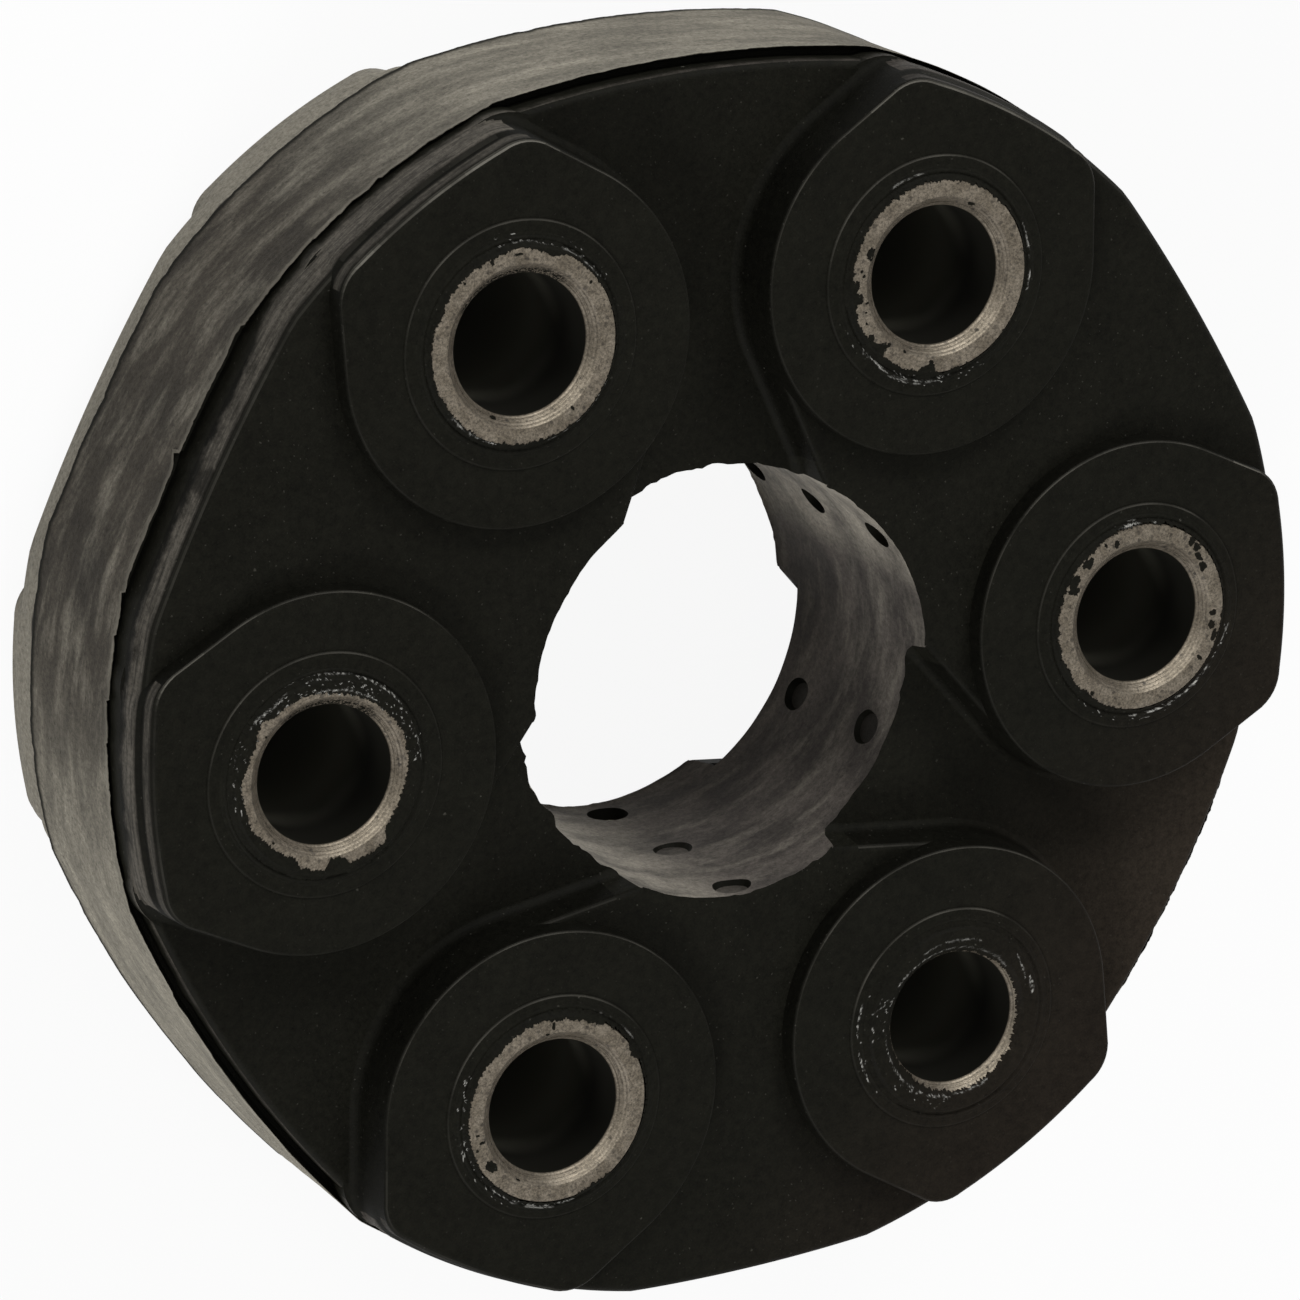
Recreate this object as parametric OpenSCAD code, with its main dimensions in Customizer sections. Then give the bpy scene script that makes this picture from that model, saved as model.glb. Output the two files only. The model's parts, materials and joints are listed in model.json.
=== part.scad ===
// Flexible disc coupling of a driveshaft.
// Six steel sleeves stand on a bolt circle in one moulded rubber body. Cord loops wound
// round neighbouring sleeves are buried in the rubber, and a collar at each end of every
// sleeve keeps them in place. +Z is the shaft axis, and the back sleeve ends lie at z = 0.
// Sleeve 1 is on +X and the others follow anticlockwise, seen from the front.

/* [Disc] */
// Diameter of the circle that the sleeve centres lie on
bolt_circle = 78; // [72:1:110]
// Thickness of the disc from sleeve end to sleeve end
thickness = 33; // [31:0.5:48]

/* [Sleeves] */
// Outer diameter of a steel sleeve
sleeve_d = 16.8; // [15:0.1:18]
// Bore of a sleeve, a clearance hole for the bolt
sleeve_bore = 12.1; // [10:0.1:13]
// Chamfer at the mouths of the bore
bore_chamfer = 0.4; // [0.2:0.1:0.8]
// Chamfer at the outer edges of a sleeve
edge_chamfer = 0.3; // [0.1:0.1:0.5]

/* [Collars] */
// How far a collar stands out from its sleeve
collar_rim = 2.5; // [1.5:0.1:4]
// Thickness of a collar
collar_t = 1.6; // [1:0.1:2]
// Rubber skin over the face of a collar
collar_skin = 0.8; // [0.5:0.1:1.2]

/* [Cord loops] */
// Rubber between a sleeve and the cords wound round it
cord_bed = 1.1; // [0.6:0.1:1.6]
// Radial thickness of a wound cord loop
cord_build = 4.2; // [3:0.1:5]
// Width along the axis of a front or back loop
outer_loop_w = 5.6; // [4:0.1:6.5]
// Rubber between two layers that are stacked on a sleeve
layer_gap = 0.9; // [0.6:0.1:1.4]

/* [Rubber body] */
// Rubber outside the cords, round the pad of a sleeve
pad_cover = 2.3; // [1.5:0.1:3.5]
// Rubber between the cords and the bore in the middle
bore_cover = 1.1; // [0.8:0.1:3]
// How far a pad's face lies below the sleeve ends
pad_drop = 0.8; // [0.4:0.1:1.2]
// How far the high surfaces lie below the sleeve ends
high_drop = 2.7; // [1.5:0.1:3]
// How far the low surfaces lie below the sleeve ends
low_drop = 6.2; // [4:0.1:7]
// Half width of a pad's straight tail where it meets the rim
tail_half_w = 10.1; // [8:0.1:12]
// How far the middle of a rim edge is drawn in from the pads
edge_sag = 1.2; // [1:0.1:3]
// Radius of the shallow arc that a rim edge follows
edge_arc_r = 100; // [85:1:130]

/* [Rim band] */
// How far the parting lines of the mould lie below the sleeve ends
band_drop = 7.8; // [7.2:0.1:10]
// How far the band stands out at the pads
band_out_pad = 0.4; // [0.2:0.1:0.8]
// How far the band stands out between the pads
band_out_mid = 0.9; // [0.4:0.1:1.4]

/* [Fits] */
// Play left round every piece that is bonded into the rubber
bond_gap = 0.1; // [0.05:0.05:0.2]

/* [Hidden] */

sleeves = 6;
pitch = 360 / sleeves;
bolt_r = bolt_circle / 2;
sleeve_r = sleeve_d / 2;
collar_r = sleeve_r + collar_rim;
loop_in_r = sleeve_r + cord_bed;
loop_out_r = loop_in_r + cord_build;
pad_r = loop_out_r + pad_cover;
rim_r = bolt_r + pad_r;
edge_mid_r = rim_r - edge_sag;
bore_r = bolt_r * cos(pitch / 2) - loop_out_r - bore_cover;

// Heights of the layers above the back sleeve ends
collar_z = pad_drop + collar_skin;
outer_loop_z = collar_z + collar_t + layer_gap;
middle_loop_z = outer_loop_z + outer_loop_w + layer_gap;
middle_loop_w = thickness - 2 * middle_loop_z;

// The straight run of a cord loop is as long as two neighbouring sleeves are apart
sleeve_span = 2 * bolt_r * sin(pitch / 2);

// Straight walls meet a pad's round wall just inside it, not as a tangent
bite = 0.03;
// A web's nose reaches this far into the bore, which cuts it off
web_nose = 0.3;
// Cutting tools run this far past what they cut
over = 1;
// Points along each half turn of a cord loop
turn_steps = 20;

rubber_col = [0.10, 0.10, 0.095];
steel_col = [0.66, 0.64, 0.60];
cord_col = [0.80, 0.74, 0.60];

$fn = 96;

// Places its children at sleeve i, turned so that +X points away from the disc's axis
module at_sleeve(i) {
    rotate([0, 0, (i - 1) * pitch]) translate([bolt_r, 0, 0]) children();
}

// A layer between heights low_z and thickness - low_z
module layer(low_z) {
    translate([0, 0, low_z]) linear_extrude(height = thickness - 2 * low_z) children();
}

// Point where a line from point p touches a circle of radius r round c, on its +Y side
function touch(p, c, r) =
    let (d = p - c, turn = acos(r / norm(d)), a = atan2(d[1], d[0]), s = d[0] > 0 ? 1 : -1)
    c + r * [cos(a + s * turn), sin(a + s * turn)];

// Disc outline: a circle over the pads, drawn in between them along shallow arcs
module outline(pads_r, middles_r) {
    intersection() {
        circle(r = pads_r);
        intersection_for (i = [0 : sleeves - 1])
            rotate((i + 0.5) * pitch) translate([middles_r - edge_arc_r, 0]) circle(r = edge_arc_r);
    }
}

// Plan of one pad, in its sleeve's own frame: a round with a tail that runs out to the rim
module pad_plan() {
    corner = [sqrt(pow(rim_r, 2) - pow(tail_half_w, 2)) - bolt_r, tail_half_w];
    foot = touch(corner, [0, 0], pad_r - bite);
    tip = corner + (corner - foot) * (2 * over / norm(corner - foot));
    circle(r = pad_r);
    polygon([[0, 0], foot, tip, [tip[0], -tip[1]], [foot[0], -foot[1]]]);
}

// Webs from the bore to the two sides of a pad, in the sleeve's own frame
module web_plan() {
    nose = [bore_r - web_nose - bolt_r, 0];
    side = touch(nose, [0, 0], pad_r - bite);
    polygon([nose, [side[0], -side[1]], [0, 0], side]);
}

// The high surfaces: every other space between two sleeves, and the webs at all of them
module high_plan() {
    near = bore_r / 2;
    far = 2 * rim_r;
    for (i = [0 : 2 : sleeves - 1])
        rotate(i * pitch) polygon([
            [near, 0], [far, 0],
            far * [cos(pitch / 2), sin(pitch / 2)],
            far * [cos(pitch), sin(pitch)],
            near * [cos(pitch), sin(pitch)]
        ]);
    for (i = [0 : sleeves - 1])
        rotate(i * pitch) translate([bolt_r, 0]) web_plan();
}

// Racetrack round two neighbouring sleeves, the first at the origin and the second on +Y
module track_plan(r) {
    polygon(concat(
        [for (k = [0 : turn_steps]) r * [cos(180 + 180 * k / turn_steps), sin(180 + 180 * k / turn_steps)]],
        [for (k = [0 : turn_steps]) [0, sleeve_span] + r * [cos(180 * k / turn_steps), sin(180 * k / turn_steps)]]
    ));
}

// Places its children so that a track at the origin runs from sleeve i to the next one
module at_pair(i) {
    at_sleeve(i) rotate([0, 0, pitch / 2]) children();
}

// A cord loop from sleeve i to the next, grown by play on every side
module loop_solid(i, z, w, play = 0) {
    at_pair(i) translate([0, 0, z - play]) linear_extrude(height = w + 2 * play) difference() {
        track_plan(loop_out_r + play);
        track_plan(loop_in_r - play);
    }
}

// The three front or back loops, and the middle loops, as room for them in the rubber
module loop_rooms() {
    for (i = [1 : 2 : sleeves - 1]) {
        loop_solid(i, outer_loop_z, outer_loop_w, bond_gap);
        loop_solid(i, thickness - outer_loop_z - outer_loop_w, outer_loop_w, bond_gap);
        loop_solid(i + 1, middle_loop_z, middle_loop_w, bond_gap);
    }
}

// Room for a sleeve and its two collars
module sleeve_room() {
    translate([0, 0, -over]) cylinder(h = thickness + 2 * over, r = sleeve_r + bond_gap);
    for (z = [collar_z, thickness - collar_z - collar_t])
        translate([0, 0, z - bond_gap]) cylinder(h = collar_t + 2 * bond_gap, r = collar_r + bond_gap);
}

module rubber_body() {
    color(rubber_col) difference() {
        union() {
            layer(band_drop) outline(rim_r + band_out_pad, edge_mid_r + band_out_mid);
            layer(low_drop) outline(rim_r, edge_mid_r);
            layer(high_drop) intersection() {
                outline(rim_r, edge_mid_r);
                high_plan();
            }
            for (i = [1 : sleeves])
                layer(pad_drop) intersection() {
                    outline(rim_r, edge_mid_r);
                    rotate((i - 1) * pitch) translate([bolt_r, 0]) pad_plan();
                }
        }
        translate([0, 0, -over]) cylinder(h = thickness + 2 * over, r = bore_r);
        for (i = [1 : sleeves]) at_sleeve(i) sleeve_room();
        loop_rooms();
    }
}

module sleeve(i) {
    color(steel_col) at_sleeve(i) rotate_extrude() polygon([
        [sleeve_bore / 2 + bore_chamfer, 0],
        [sleeve_r - edge_chamfer, 0],
        [sleeve_r, edge_chamfer],
        [sleeve_r, thickness - edge_chamfer],
        [sleeve_r - edge_chamfer, thickness],
        [sleeve_bore / 2 + bore_chamfer, thickness],
        [sleeve_bore / 2, thickness - bore_chamfer],
        [sleeve_bore / 2, bore_chamfer]
    ]);
}

module collar(i, z) {
    color(steel_col) at_sleeve(i) translate([0, 0, z]) difference() {
        cylinder(h = collar_t, r = collar_r);
        translate([0, 0, -over]) cylinder(h = collar_t + 2 * over, r = sleeve_r + bond_gap);
    }
}

module cord_loop(i, z, w) {
    color(cord_col) loop_solid(i, z, w);
}

rubber_body();

for (i = [1 : sleeves]) {
    sleeve(i);
    collar(i, thickness - collar_z - collar_t);
    collar(i, collar_z);
}

for (k = [1 : sleeves / 2]) {
    cord_loop(2 * k - 1, thickness - outer_loop_z - outer_loop_w, outer_loop_w);
    cord_loop(2 * k - 1, outer_loop_z, outer_loop_w);
    cord_loop(2 * k, middle_loop_z, middle_loop_w);
}
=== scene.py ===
"""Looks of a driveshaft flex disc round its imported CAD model, laid out as an add-on.

Lengths are in metres, in the frame of the CAD model: +Z is the shaft axis, the back sleeve
ends lie at z = 0 and sleeve 1 is on +X. MM turns a length in millimetres into metres.
"""

import json
import math

import bmesh
import bpy
from bpy.props import FloatProperty, FloatVectorProperty, PointerProperty
from bpy.types import Operator, Panel, PropertyGroup
from mathutils import Matrix, Vector, noise

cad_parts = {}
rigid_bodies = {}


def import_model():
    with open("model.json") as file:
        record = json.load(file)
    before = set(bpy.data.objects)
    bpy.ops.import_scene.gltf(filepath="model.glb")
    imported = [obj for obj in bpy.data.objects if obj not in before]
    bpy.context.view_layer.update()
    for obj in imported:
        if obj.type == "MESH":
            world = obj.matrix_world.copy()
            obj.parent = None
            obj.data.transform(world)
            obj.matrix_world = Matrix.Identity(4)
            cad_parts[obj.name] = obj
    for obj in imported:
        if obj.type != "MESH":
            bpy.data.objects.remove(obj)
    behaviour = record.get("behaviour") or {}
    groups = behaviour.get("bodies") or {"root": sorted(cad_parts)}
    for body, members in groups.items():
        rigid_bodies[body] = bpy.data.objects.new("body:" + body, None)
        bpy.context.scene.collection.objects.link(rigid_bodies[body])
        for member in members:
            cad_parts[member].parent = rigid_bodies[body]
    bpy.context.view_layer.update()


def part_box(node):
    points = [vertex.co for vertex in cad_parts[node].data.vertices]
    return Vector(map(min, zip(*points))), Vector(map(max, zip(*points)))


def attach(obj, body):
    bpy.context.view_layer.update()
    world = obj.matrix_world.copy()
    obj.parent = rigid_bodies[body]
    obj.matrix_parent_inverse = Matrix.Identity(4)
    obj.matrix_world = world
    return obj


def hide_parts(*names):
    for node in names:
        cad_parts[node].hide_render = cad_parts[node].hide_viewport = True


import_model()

bl_info = {
    "name": "Driveshaft flex disc",
    "version": (1, 0, 0),
    "blender": (4, 5, 0),
    "location": "3D View > Sidebar > Flex disc",
    "description": "Builds the moulded rubber, the steel and the stage of a flex disc",
    "category": "Object",
}

MM = 0.001
BODY_LOW, BODY_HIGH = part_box("rubber_body")
SLEEVE_LOW, SLEEVE_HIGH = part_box("sleeve_1")

SLEEVE_COUNT = 6
PITCH = math.tau / SLEEVE_COUNT
BOLT_R = (SLEEVE_LOW.x + SLEEVE_HIGH.x) / 2
SLEEVE_R = (SLEEVE_HIGH.x - SLEEVE_LOW.x) / 2
THICKNESS = SLEEVE_HIGH.z
MIDDLE_Z = THICKNESS / 2

# Steps round the disc, round a ragged edge, and along a fillet
DISC_STEPS = 360
RAGGED_STEPS = 1440
SKIN_STEPS = 480
FILLET_STEPS = 6
QUARTER_TURN = [math.pi / 2 * k / FILLET_STEPS for k in range(FILLET_STEPS + 1)]

# Solids that are joined reach this far down into the core
ROOT_Z = 21 * MM
# The walls of the core and of the high surfaces stand this far inside a pad's
CORE_INSET = 0.05 * MM
HIGH_INSET = 0.03 * MM

# The moulding isn't quite even: how far each pad's rim and each edge between two pads stands
# out from the nominal outline, anticlockwise from sleeve 1, in mm
PAD_SHIFTS = (0.1, 0.0, 0.0, 0.0, 0.4, 0.4)
EDGE_SHIFTS = (0.2, -0.6, 0.0, -0.6, 0.75, 0.6)

# A sleeve's end is chamfered on the inside and lies a film's thickness below the skin's top
CHAMFER_R = 6.95 * MM
STEEL_TOP = THICKNESS - 0.07 * MM
SKIN_TOP = THICKNESS - 0.01 * MM
# The skin runs out from the steel's end to this radius round a sleeve
SKIN_R = 9.75 * MM

# Where the rubber skin ends on each sleeve: (degrees from +X, radius in mm)
SKIN_EDGES = {
    1: [(0, 8.45), (30, 8.4), (60, 8.5), (105, 8.5), (120, 8.4), (180, 8.4), (200, 8.35), (205, 8.1),
        (212, 8.35), (226, 8.1), (236, 8.3), (290, 8.5), (325, 8.4), (340, 8.2)],
    2: [(0, 8.4), (25, 8.45), (40, 8.35), (140, 8.4), (172, 8.25), (178, 7.9), (188, 7.8), (192, 8.3),
        (212, 8.25), (222, 7.5), (228, 8.2), (245, 8.4), (256, 7.9), (262, 7.6), (268, 8.4), (330, 8.4)],
    3: [(0, 8.45), (25, 8.35), (60, 8.3), (67, 7.9), (78, 8.05), (90, 8.4), (107, 8.1), (125, 8.3),
        (155, 8.2), (165, 8.4), (200, 8.4), (215, 8.25), (240, 8.35), (270, 8.2), (300, 8.3), (345, 8.4)],
    4: [(0, 7.2), (20, 7.4), (45, 7.2), (80, 7.1), (100, 7.5), (128, 7.6), (135, 8.1), (148, 7.5),
        (160, 7.4), (176, 7.9), (192, 7.6), (205, 7.8), (215, 7.5), (242, 7.3), (248, 7.95),
        (264, 8.0), (268, 7.05), (277, 7.1), (281, 8.0), (306, 8.1), (313, 7.1), (340, 7.0)],
    5: [(0, 8.6), (20, 8.5), (26, 7.9), (34, 8.5), (54, 8.5), (58, 8.05), (90, 8.1), (100, 8.35),
        (130, 8.1), (155, 8.3), (200, 8.4), (270, 8.5), (279, 8.5), (284, 8.15), (303, 8.1), (309, 8.55)],
    6: [(0, 6.45), (40, 6.4), (52, 6.12), (140, 6.1), (225, 6.12), (238, 6.5), (270, 6.75), (310, 6.75),
        (340, 6.55)],
}
# Stretches of torn skin that catch the light: (from and to in degrees, radius there and there,
# strength, half width in mm)
GLINTS = {
    1: [(262, 328, 9.05, 9.1, 0.9, 0.09), (258, 290, 9.62, 9.62, 0.5, 0.06),
        (78, 104, 8.55, 8.6, 0.8, 0.06), (88, 97, 8.9, 8.9, 0.5, 0.06), (333, 346, 9.1, 9.5, 0.5, 0.08)],
    2: [(215, 271, 9.02, 9.22, 1.0, 0.1), (238, 262, 9.42, 9.4, 0.5, 0.05),
        (-16, 22, 9.1, 9.1, 0.8, 0.08), (95, 119, 9.15, 9.2, 0.35, 0.05)],
    3: [(36, 93, 8.64, 8.8, 0.6, 0.05), (216, 249, 8.48, 8.4, 0.9, 0.06),
        (282, 331, 8.46, 8.44, 0.6, 0.04)],
    4: [(0, 24, 8.4, 8.42, 0.5, 0.05), (34, 112, 8.6, 8.92, 0.75, 0.06), (112, 126, 8.6, 8.2, 0.5, 0.05),
        (124, 141, 8.36, 8.58, 0.8, 0.06), (150, 196, 8.72, 8.7, 0.4, 0.05),
        (36, 100, 7.0, 7.05, 1.0, 0.1), (52, 96, 7.45, 7.5, 0.5, 0.06),
        (186, 202, 7.04, 7.0, 0.9, 0.08), (228, 262, 6.94, 6.9, 0.8, 0.07)],
    5: [(30, 60, 9.04, 9.06, 0.4, 0.05), (222, 279, 8.82, 8.84, 0.9, 0.05),
        (236, 270, 9.0, 9.0, 0.5, 0.04)],
    6: [(36, 112, 6.62, 6.76, 0.35, 0.08), (98, 143, 6.72, 7.06, 0.9, 0.07),
        (151, 158, 6.97, 7.0, 0.8, 0.07), (154, 165, 7.1, 8.5, 0.5, 0.07),
        (178, 236, 6.98, 7.08, 0.6, 0.07), (234, 264, 7.1, 7.1, 0.9, 0.09),
        (264, 299, 7.0, 6.94, 0.5, 0.06), (68, 114, 7.5, 7.4, 0.35, 0.07), (7, 19, 7.9, 8.0, 0.7, 0.24),
        (19, 38, 7.55, 8.02, 0.6, 0.06), (157, 182, 9.5, 9.6, 0.6, 0.09),
        (187, 207, 9.55, 9.5, 0.7, 0.1)],
}
# Places with sparse sparkling dots: (from and to in degrees, lowest and highest radius in mm)
SPARKLES = {
    1: [(225, 350, 8.9, 9.7)], 2: [(200, 300, 8.7, 9.6)], 3: [(20, 110, 8.6, 9.6)],
    4: [(0, 200, 7.4, 8.9)], 5: [(150, 240, 8.6, 9.4)], 6: [(150, 262, 7.1, 8.4), (155, 215, 9.1, 9.6)],
}
# The inner chamfers of two sleeves are black over these arcs: (from, to in degrees)
BLACK_CHAMFERS = {3: (46, 150), 4: (40, 128)}
# Marks that the mould's pins leave in the bore: (degrees, height, half width, half height, depth,
# in mm, and how dark the mark's floor is)
PIN_MARKS = [
    (31.5, 27.0, 1.35, 1.7, 1.3, 1.0), (32.0, 15.4, 1.3, 1.6, 1.3, 1.0),
    (33.0, 4.6, 1.4, 1.6, 1.3, 1.0),
    (91.0, 22.7, 1.5, 1.65, 0.9, 0.8), (91.0, 10.2, 1.5, 1.65, 0.9, 0.8),
    (151.0, 27.6, 1.5, 1.65, 0.9, 0.8), (151.0, 16.4, 1.5, 1.65, 0.9, 0.8),
    (151.0, 5.3, 1.5, 1.65, 0.9, 0.8),
    (211.0, 22.7, 1.5, 1.65, 0.9, 0.8), (211.0, 10.2, 1.5, 1.65, 0.9, 0.8),
    (271.5, 28.0, 1.7, 1.6, 0.5, 0.55), (270.5, 16.9, 1.65, 1.6, 0.3, 0.3),
    (268.5, 5.8, 1.9, 1.7, 1.2, 1.0),
    (332.0, 22.7, 1.5, 1.75, 0.5, 0.75), (330.5, 10.2, 1.5, 1.75, 0.6, 0.85),
]
# Radius of the raised boss round each sleeve, anticlockwise from sleeve 1, in mm
BOSS_R = (10.3, 10.55, 10.7, 10.7, 10.2, 10.25)
# Notches in the band's front edge: (from, to in degrees, depth in mm), deepest at the start
BAND_NOTCHES = [
    (120.5, 122.0, 0.5), (128.4, 131.0, 0.3), (137.8, 143.8, 0.35), (150.0, 151.4, 1.2),
    (162.9, 164.9, 0.8), (166.6, 167.6, 0.4), (172.4, 174.6, 0.5), (176.2, 177.4, 0.3),
    (186.0, 187.2, 0.3),
]
# Flecks of rubber on the steel: (degrees, radius, half length round the ring, half width, in mm)
FLECKS = {
    1: [(29.5, 7.25, 0.45, 0.36), (38, 7.45, 0.5, 0.24), (44, 7.9, 0.36, 0.34), (49.5, 8.0, 0.34, 0.42),
        (108.5, 7.5, 0.3, 0.3), (116, 8.0, 0.12, 0.22), (132, 7.85, 0.58, 0.48), (147, 7.95, 0.72, 0.44),
        (152, 7.6, 0.4, 0.52), (230, 7.95, 0.24, 0.2), (321, 7.6, 0.2, 0.3), (338.5, 7.95, 0.5, 0.28),
        (345, 7.42, 0.4, 0.36), (353.5, 7.4, 0.28, 0.4)],
    2: [(155.5, 7.1, 0.6, 0.38), (168, 7.6, 0.12, 0.14), (171, 7.3, 0.14, 0.14), (176, 7.9, 0.3, 0.24),
        (186, 7.7, 0.42, 0.36), (190, 7.1, 0.1, 0.2), (196, 7.4, 0.1, 0.1), (203, 7.7, 0.12, 0.1),
        (213, 7.98, 0.3, 0.34), (218, 8.1, 0.4, 0.2), (224, 7.65, 0.36, 0.44), (226, 7.2, 0.16, 0.24),
        (240, 6.95, 0.16, 0.14), (262, 7.9, 0.62, 0.4), (262.5, 7.4, 0.24, 0.2), (60, 6.75, 0.34, 0.14)],
    3: [(36, 7.75, 0.12, 0.16), (91, 7.85, 0.4, 0.12), (109, 7.95, 0.16, 0.3), (130, 8.0, 0.1, 0.14),
        (69, 8.0, 0.4, 0.2), (243, 6.4, 0.3, 0.14), (305, 7.2, 0.12, 0.26)],
    4: [(140, 7.0, 0.1, 0.1), (222, 7.1, 0.14, 0.1)],
    5: [(90, 7.6, 0.14, 0.34), (95, 7.0, 0.2, 0.1), (186, 7.6, 0.1, 0.2), (192, 7.3, 0.14, 0.3),
        (211, 7.5, 0.56, 0.4), (196, 8.0, 0.12, 0.12), (235, 6.9, 0.2, 0.08)],
    6: [],
}


def length(name, description, default):
    return FloatProperty(name=name, description=description, default=default, unit="LENGTH")


def color(name, description, default):
    return FloatVectorProperty(name=name, description=description, default=default, subtype="COLOR")


class FlexDiscSizes(PropertyGroup):
    """Sizes of the moulding and of its rim band."""

    pad_radius: length("Pad radius", "Radius of the raised pad round a sleeve", BOLT_R * 16 / 39)
    rim_radius: length("Rim radius", "Radius of the disc over the pads", 55 * MM)
    edge_radius: length("Edge radius", "Radius of the disc in the middle between two pads", 53.8 * MM)
    edge_arc: length("Edge arc", "Radius of the shallow arc between two pads", 100 * MM)
    bore_radius: length("Bore radius", "Radius of the open bore in the middle", 18.975 * MM)
    tail_half_width: length(
        "Tail half width", "Half the width of a pad where it meets the rim", 10.1 * MM
    )
    pad_drop: length("Pad drop", "How far the pads lie below the sleeve ends", 0.8 * MM)
    high_drop: length("High drop", "How far the high surfaces lie below the sleeve ends", 2.7 * MM)
    low_drop: length("Low drop", "How far the low surfaces lie below the sleeve ends", 6.2 * MM)
    band_drop: length("Band drop", "How far the parting lines lie below the sleeve ends", 7.8 * MM)
    band_out_pad: length("Band over the pads", "How far the rim band stands out at the pads", 0.4 * MM)
    band_out_edge: length(
        "Band between the pads", "How far the rim band stands out between the pads", 0.9 * MM
    )


class FlexDiscLooks(PropertyGroup):
    """Colours of the rubber, the steel and the cord."""

    face: color("Face", "Matte black rubber of the faces", (0.0076, 0.0074, 0.0054))
    dust: color("Dust", "Specks of dust on the rubber", (0.085, 0.082, 0.068))
    # Colour of the painted highlight along rounded edges that face the top left
    rubbed: color("Rubbed edges", "Rubber rubbed pale along rounded edges", (0.150, 0.142, 0.120))
    warm: color("Warm face", "Browner rubber towards the right", (0.0150, 0.0118, 0.0088))
    shoulder: color(
        "Shoulder", "Dusty brown-grey rubber between a face and the rim band", (0.056, 0.049, 0.042)
    )
    band: color("Rim band", "Scuffed grey rubber of the rim band", (0.058, 0.051, 0.041))
    band_dark: color("Rim band stains", "Darker stains on the rim band", (0.037, 0.033, 0.027))
    band_light: color("Rim band smears", "Light smears on the rim band", (0.235, 0.218, 0.178))
    bore: color("Bore", "Cut grey rubber of the bore", (0.098, 0.086, 0.076))
    bore_dark: color("Bore stains", "Darker stains in the bore", (0.044, 0.039, 0.035))
    # Colour of the light smears in the bore, and of the painted light near its top and back left
    bore_smears_and_light: color("Bore smears", "Light smears in the bore", (0.33, 0.303, 0.253))
    glint: color("Glint", "Torn rubber that catches the light", (0.55, 0.54, 0.50))
    fleck: color("Fleck", "Dirt on the steel", (0.012, 0.010, 0.008))
    steel: color("Steel", "Dull steel of the sleeve ends", (0.165, 0.141, 0.109))
    steel_dark: color("Steel stains", "Darker blotches on the steel", (0.112, 0.094, 0.070))
    # Colour of the painted highlight on the lit side of the turned chamfers
    chamfer_highlight: color("Steel chamfer", "Bright steel of the turned chamfers", (0.36, 0.31, 0.235))
    # Colour of the painted shade inside a sleeve's bore
    sleeve_bore_shade: color("Sleeve bore", "Dark coat inside a sleeve", (0.0085, 0.0082, 0.0064))
    cord: color("Cord", "Pale wound cord inside the rubber", (0.62, 0.54, 0.38))
    cord_dark: color("Cord grooves", "Darker yarn between the turns of cord", (0.30, 0.25, 0.16))


def clear_selection():
    bpy.ops.object.select_all(action="DESELECT")


def activate(piece):
    clear_selection()
    piece.select_set(True)
    bpy.context.view_layer.objects.active = piece


def polar(radius, angle, z=0.0):
    return Vector((radius * math.cos(angle), radius * math.sin(angle), z))


def wave(x, y, z):
    """Smooth noise from -1 to 1."""
    return noise.noise(Vector((x, y, z)))


def ripple(count, angle, z):
    """Smooth noise round a circle, from -1 to 1; a larger count gives finer waves."""
    return wave(count * math.cos(angle), count * math.sin(angle), z)


def blend_values(a, b, share):
    return a + (b - a) * share


def ease(value, start, end):
    """0 up to start, 1 from end on, eased in between."""
    share = min(max((value - start) / (end - start), 0.0), 1.0)
    return share * share * (3 - 2 * share)


def follow(points, degrees):
    """Value at an angle on a closed line through (degrees, value) points."""
    degrees %= 360
    before = (points[-1][0] - 360, points[-1][1])
    for point in [*points, (points[0][0] + 360, points[0][1])]:
        if degrees <= point[0]:
            share = (degrees - before[0]) / max(point[0] - before[0], 1e-6)
            return blend_values(before[1], point[1], share)
        before = point
    return before[1]


def move_ring(piece, ring):
    """Puts the selected vertices of a loft on the points of a ring."""
    mesh = bmesh.from_edit_mesh(piece.data)
    place = mesh.verts.layers.int["place"]
    for vert in mesh.verts:
        if vert.select:
            vert.co = ring[vert[place]]
    bmesh.update_edit_mesh(piece.data)


def loft(name, rings):
    """A closed solid: a disc whose face is extruded from one ring of points to the next."""
    clear_selection()
    bpy.ops.mesh.primitive_circle_add(vertices=len(rings[0]), radius=BOLT_R, fill_type="NGON")
    piece = bpy.context.object
    piece.name = name
    places = piece.data.attributes.new("place", "INT", "POINT")
    places.data.foreach_set("value", range(len(rings[0])))
    bpy.ops.object.mode_set(mode="EDIT")
    bpy.ops.mesh.select_all(action="SELECT")
    move_ring(piece, rings[0])
    for ring in rings[1:]:
        bpy.ops.mesh.extrude_region_move()
        move_ring(piece, ring)
    bpy.ops.mesh.select_all(action="SELECT")
    bpy.ops.mesh.normals_make_consistent(inside=False)
    bpy.ops.object.mode_set(mode="OBJECT")
    piece.data.attributes.remove(piece.data.attributes["place"])
    return piece


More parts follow.
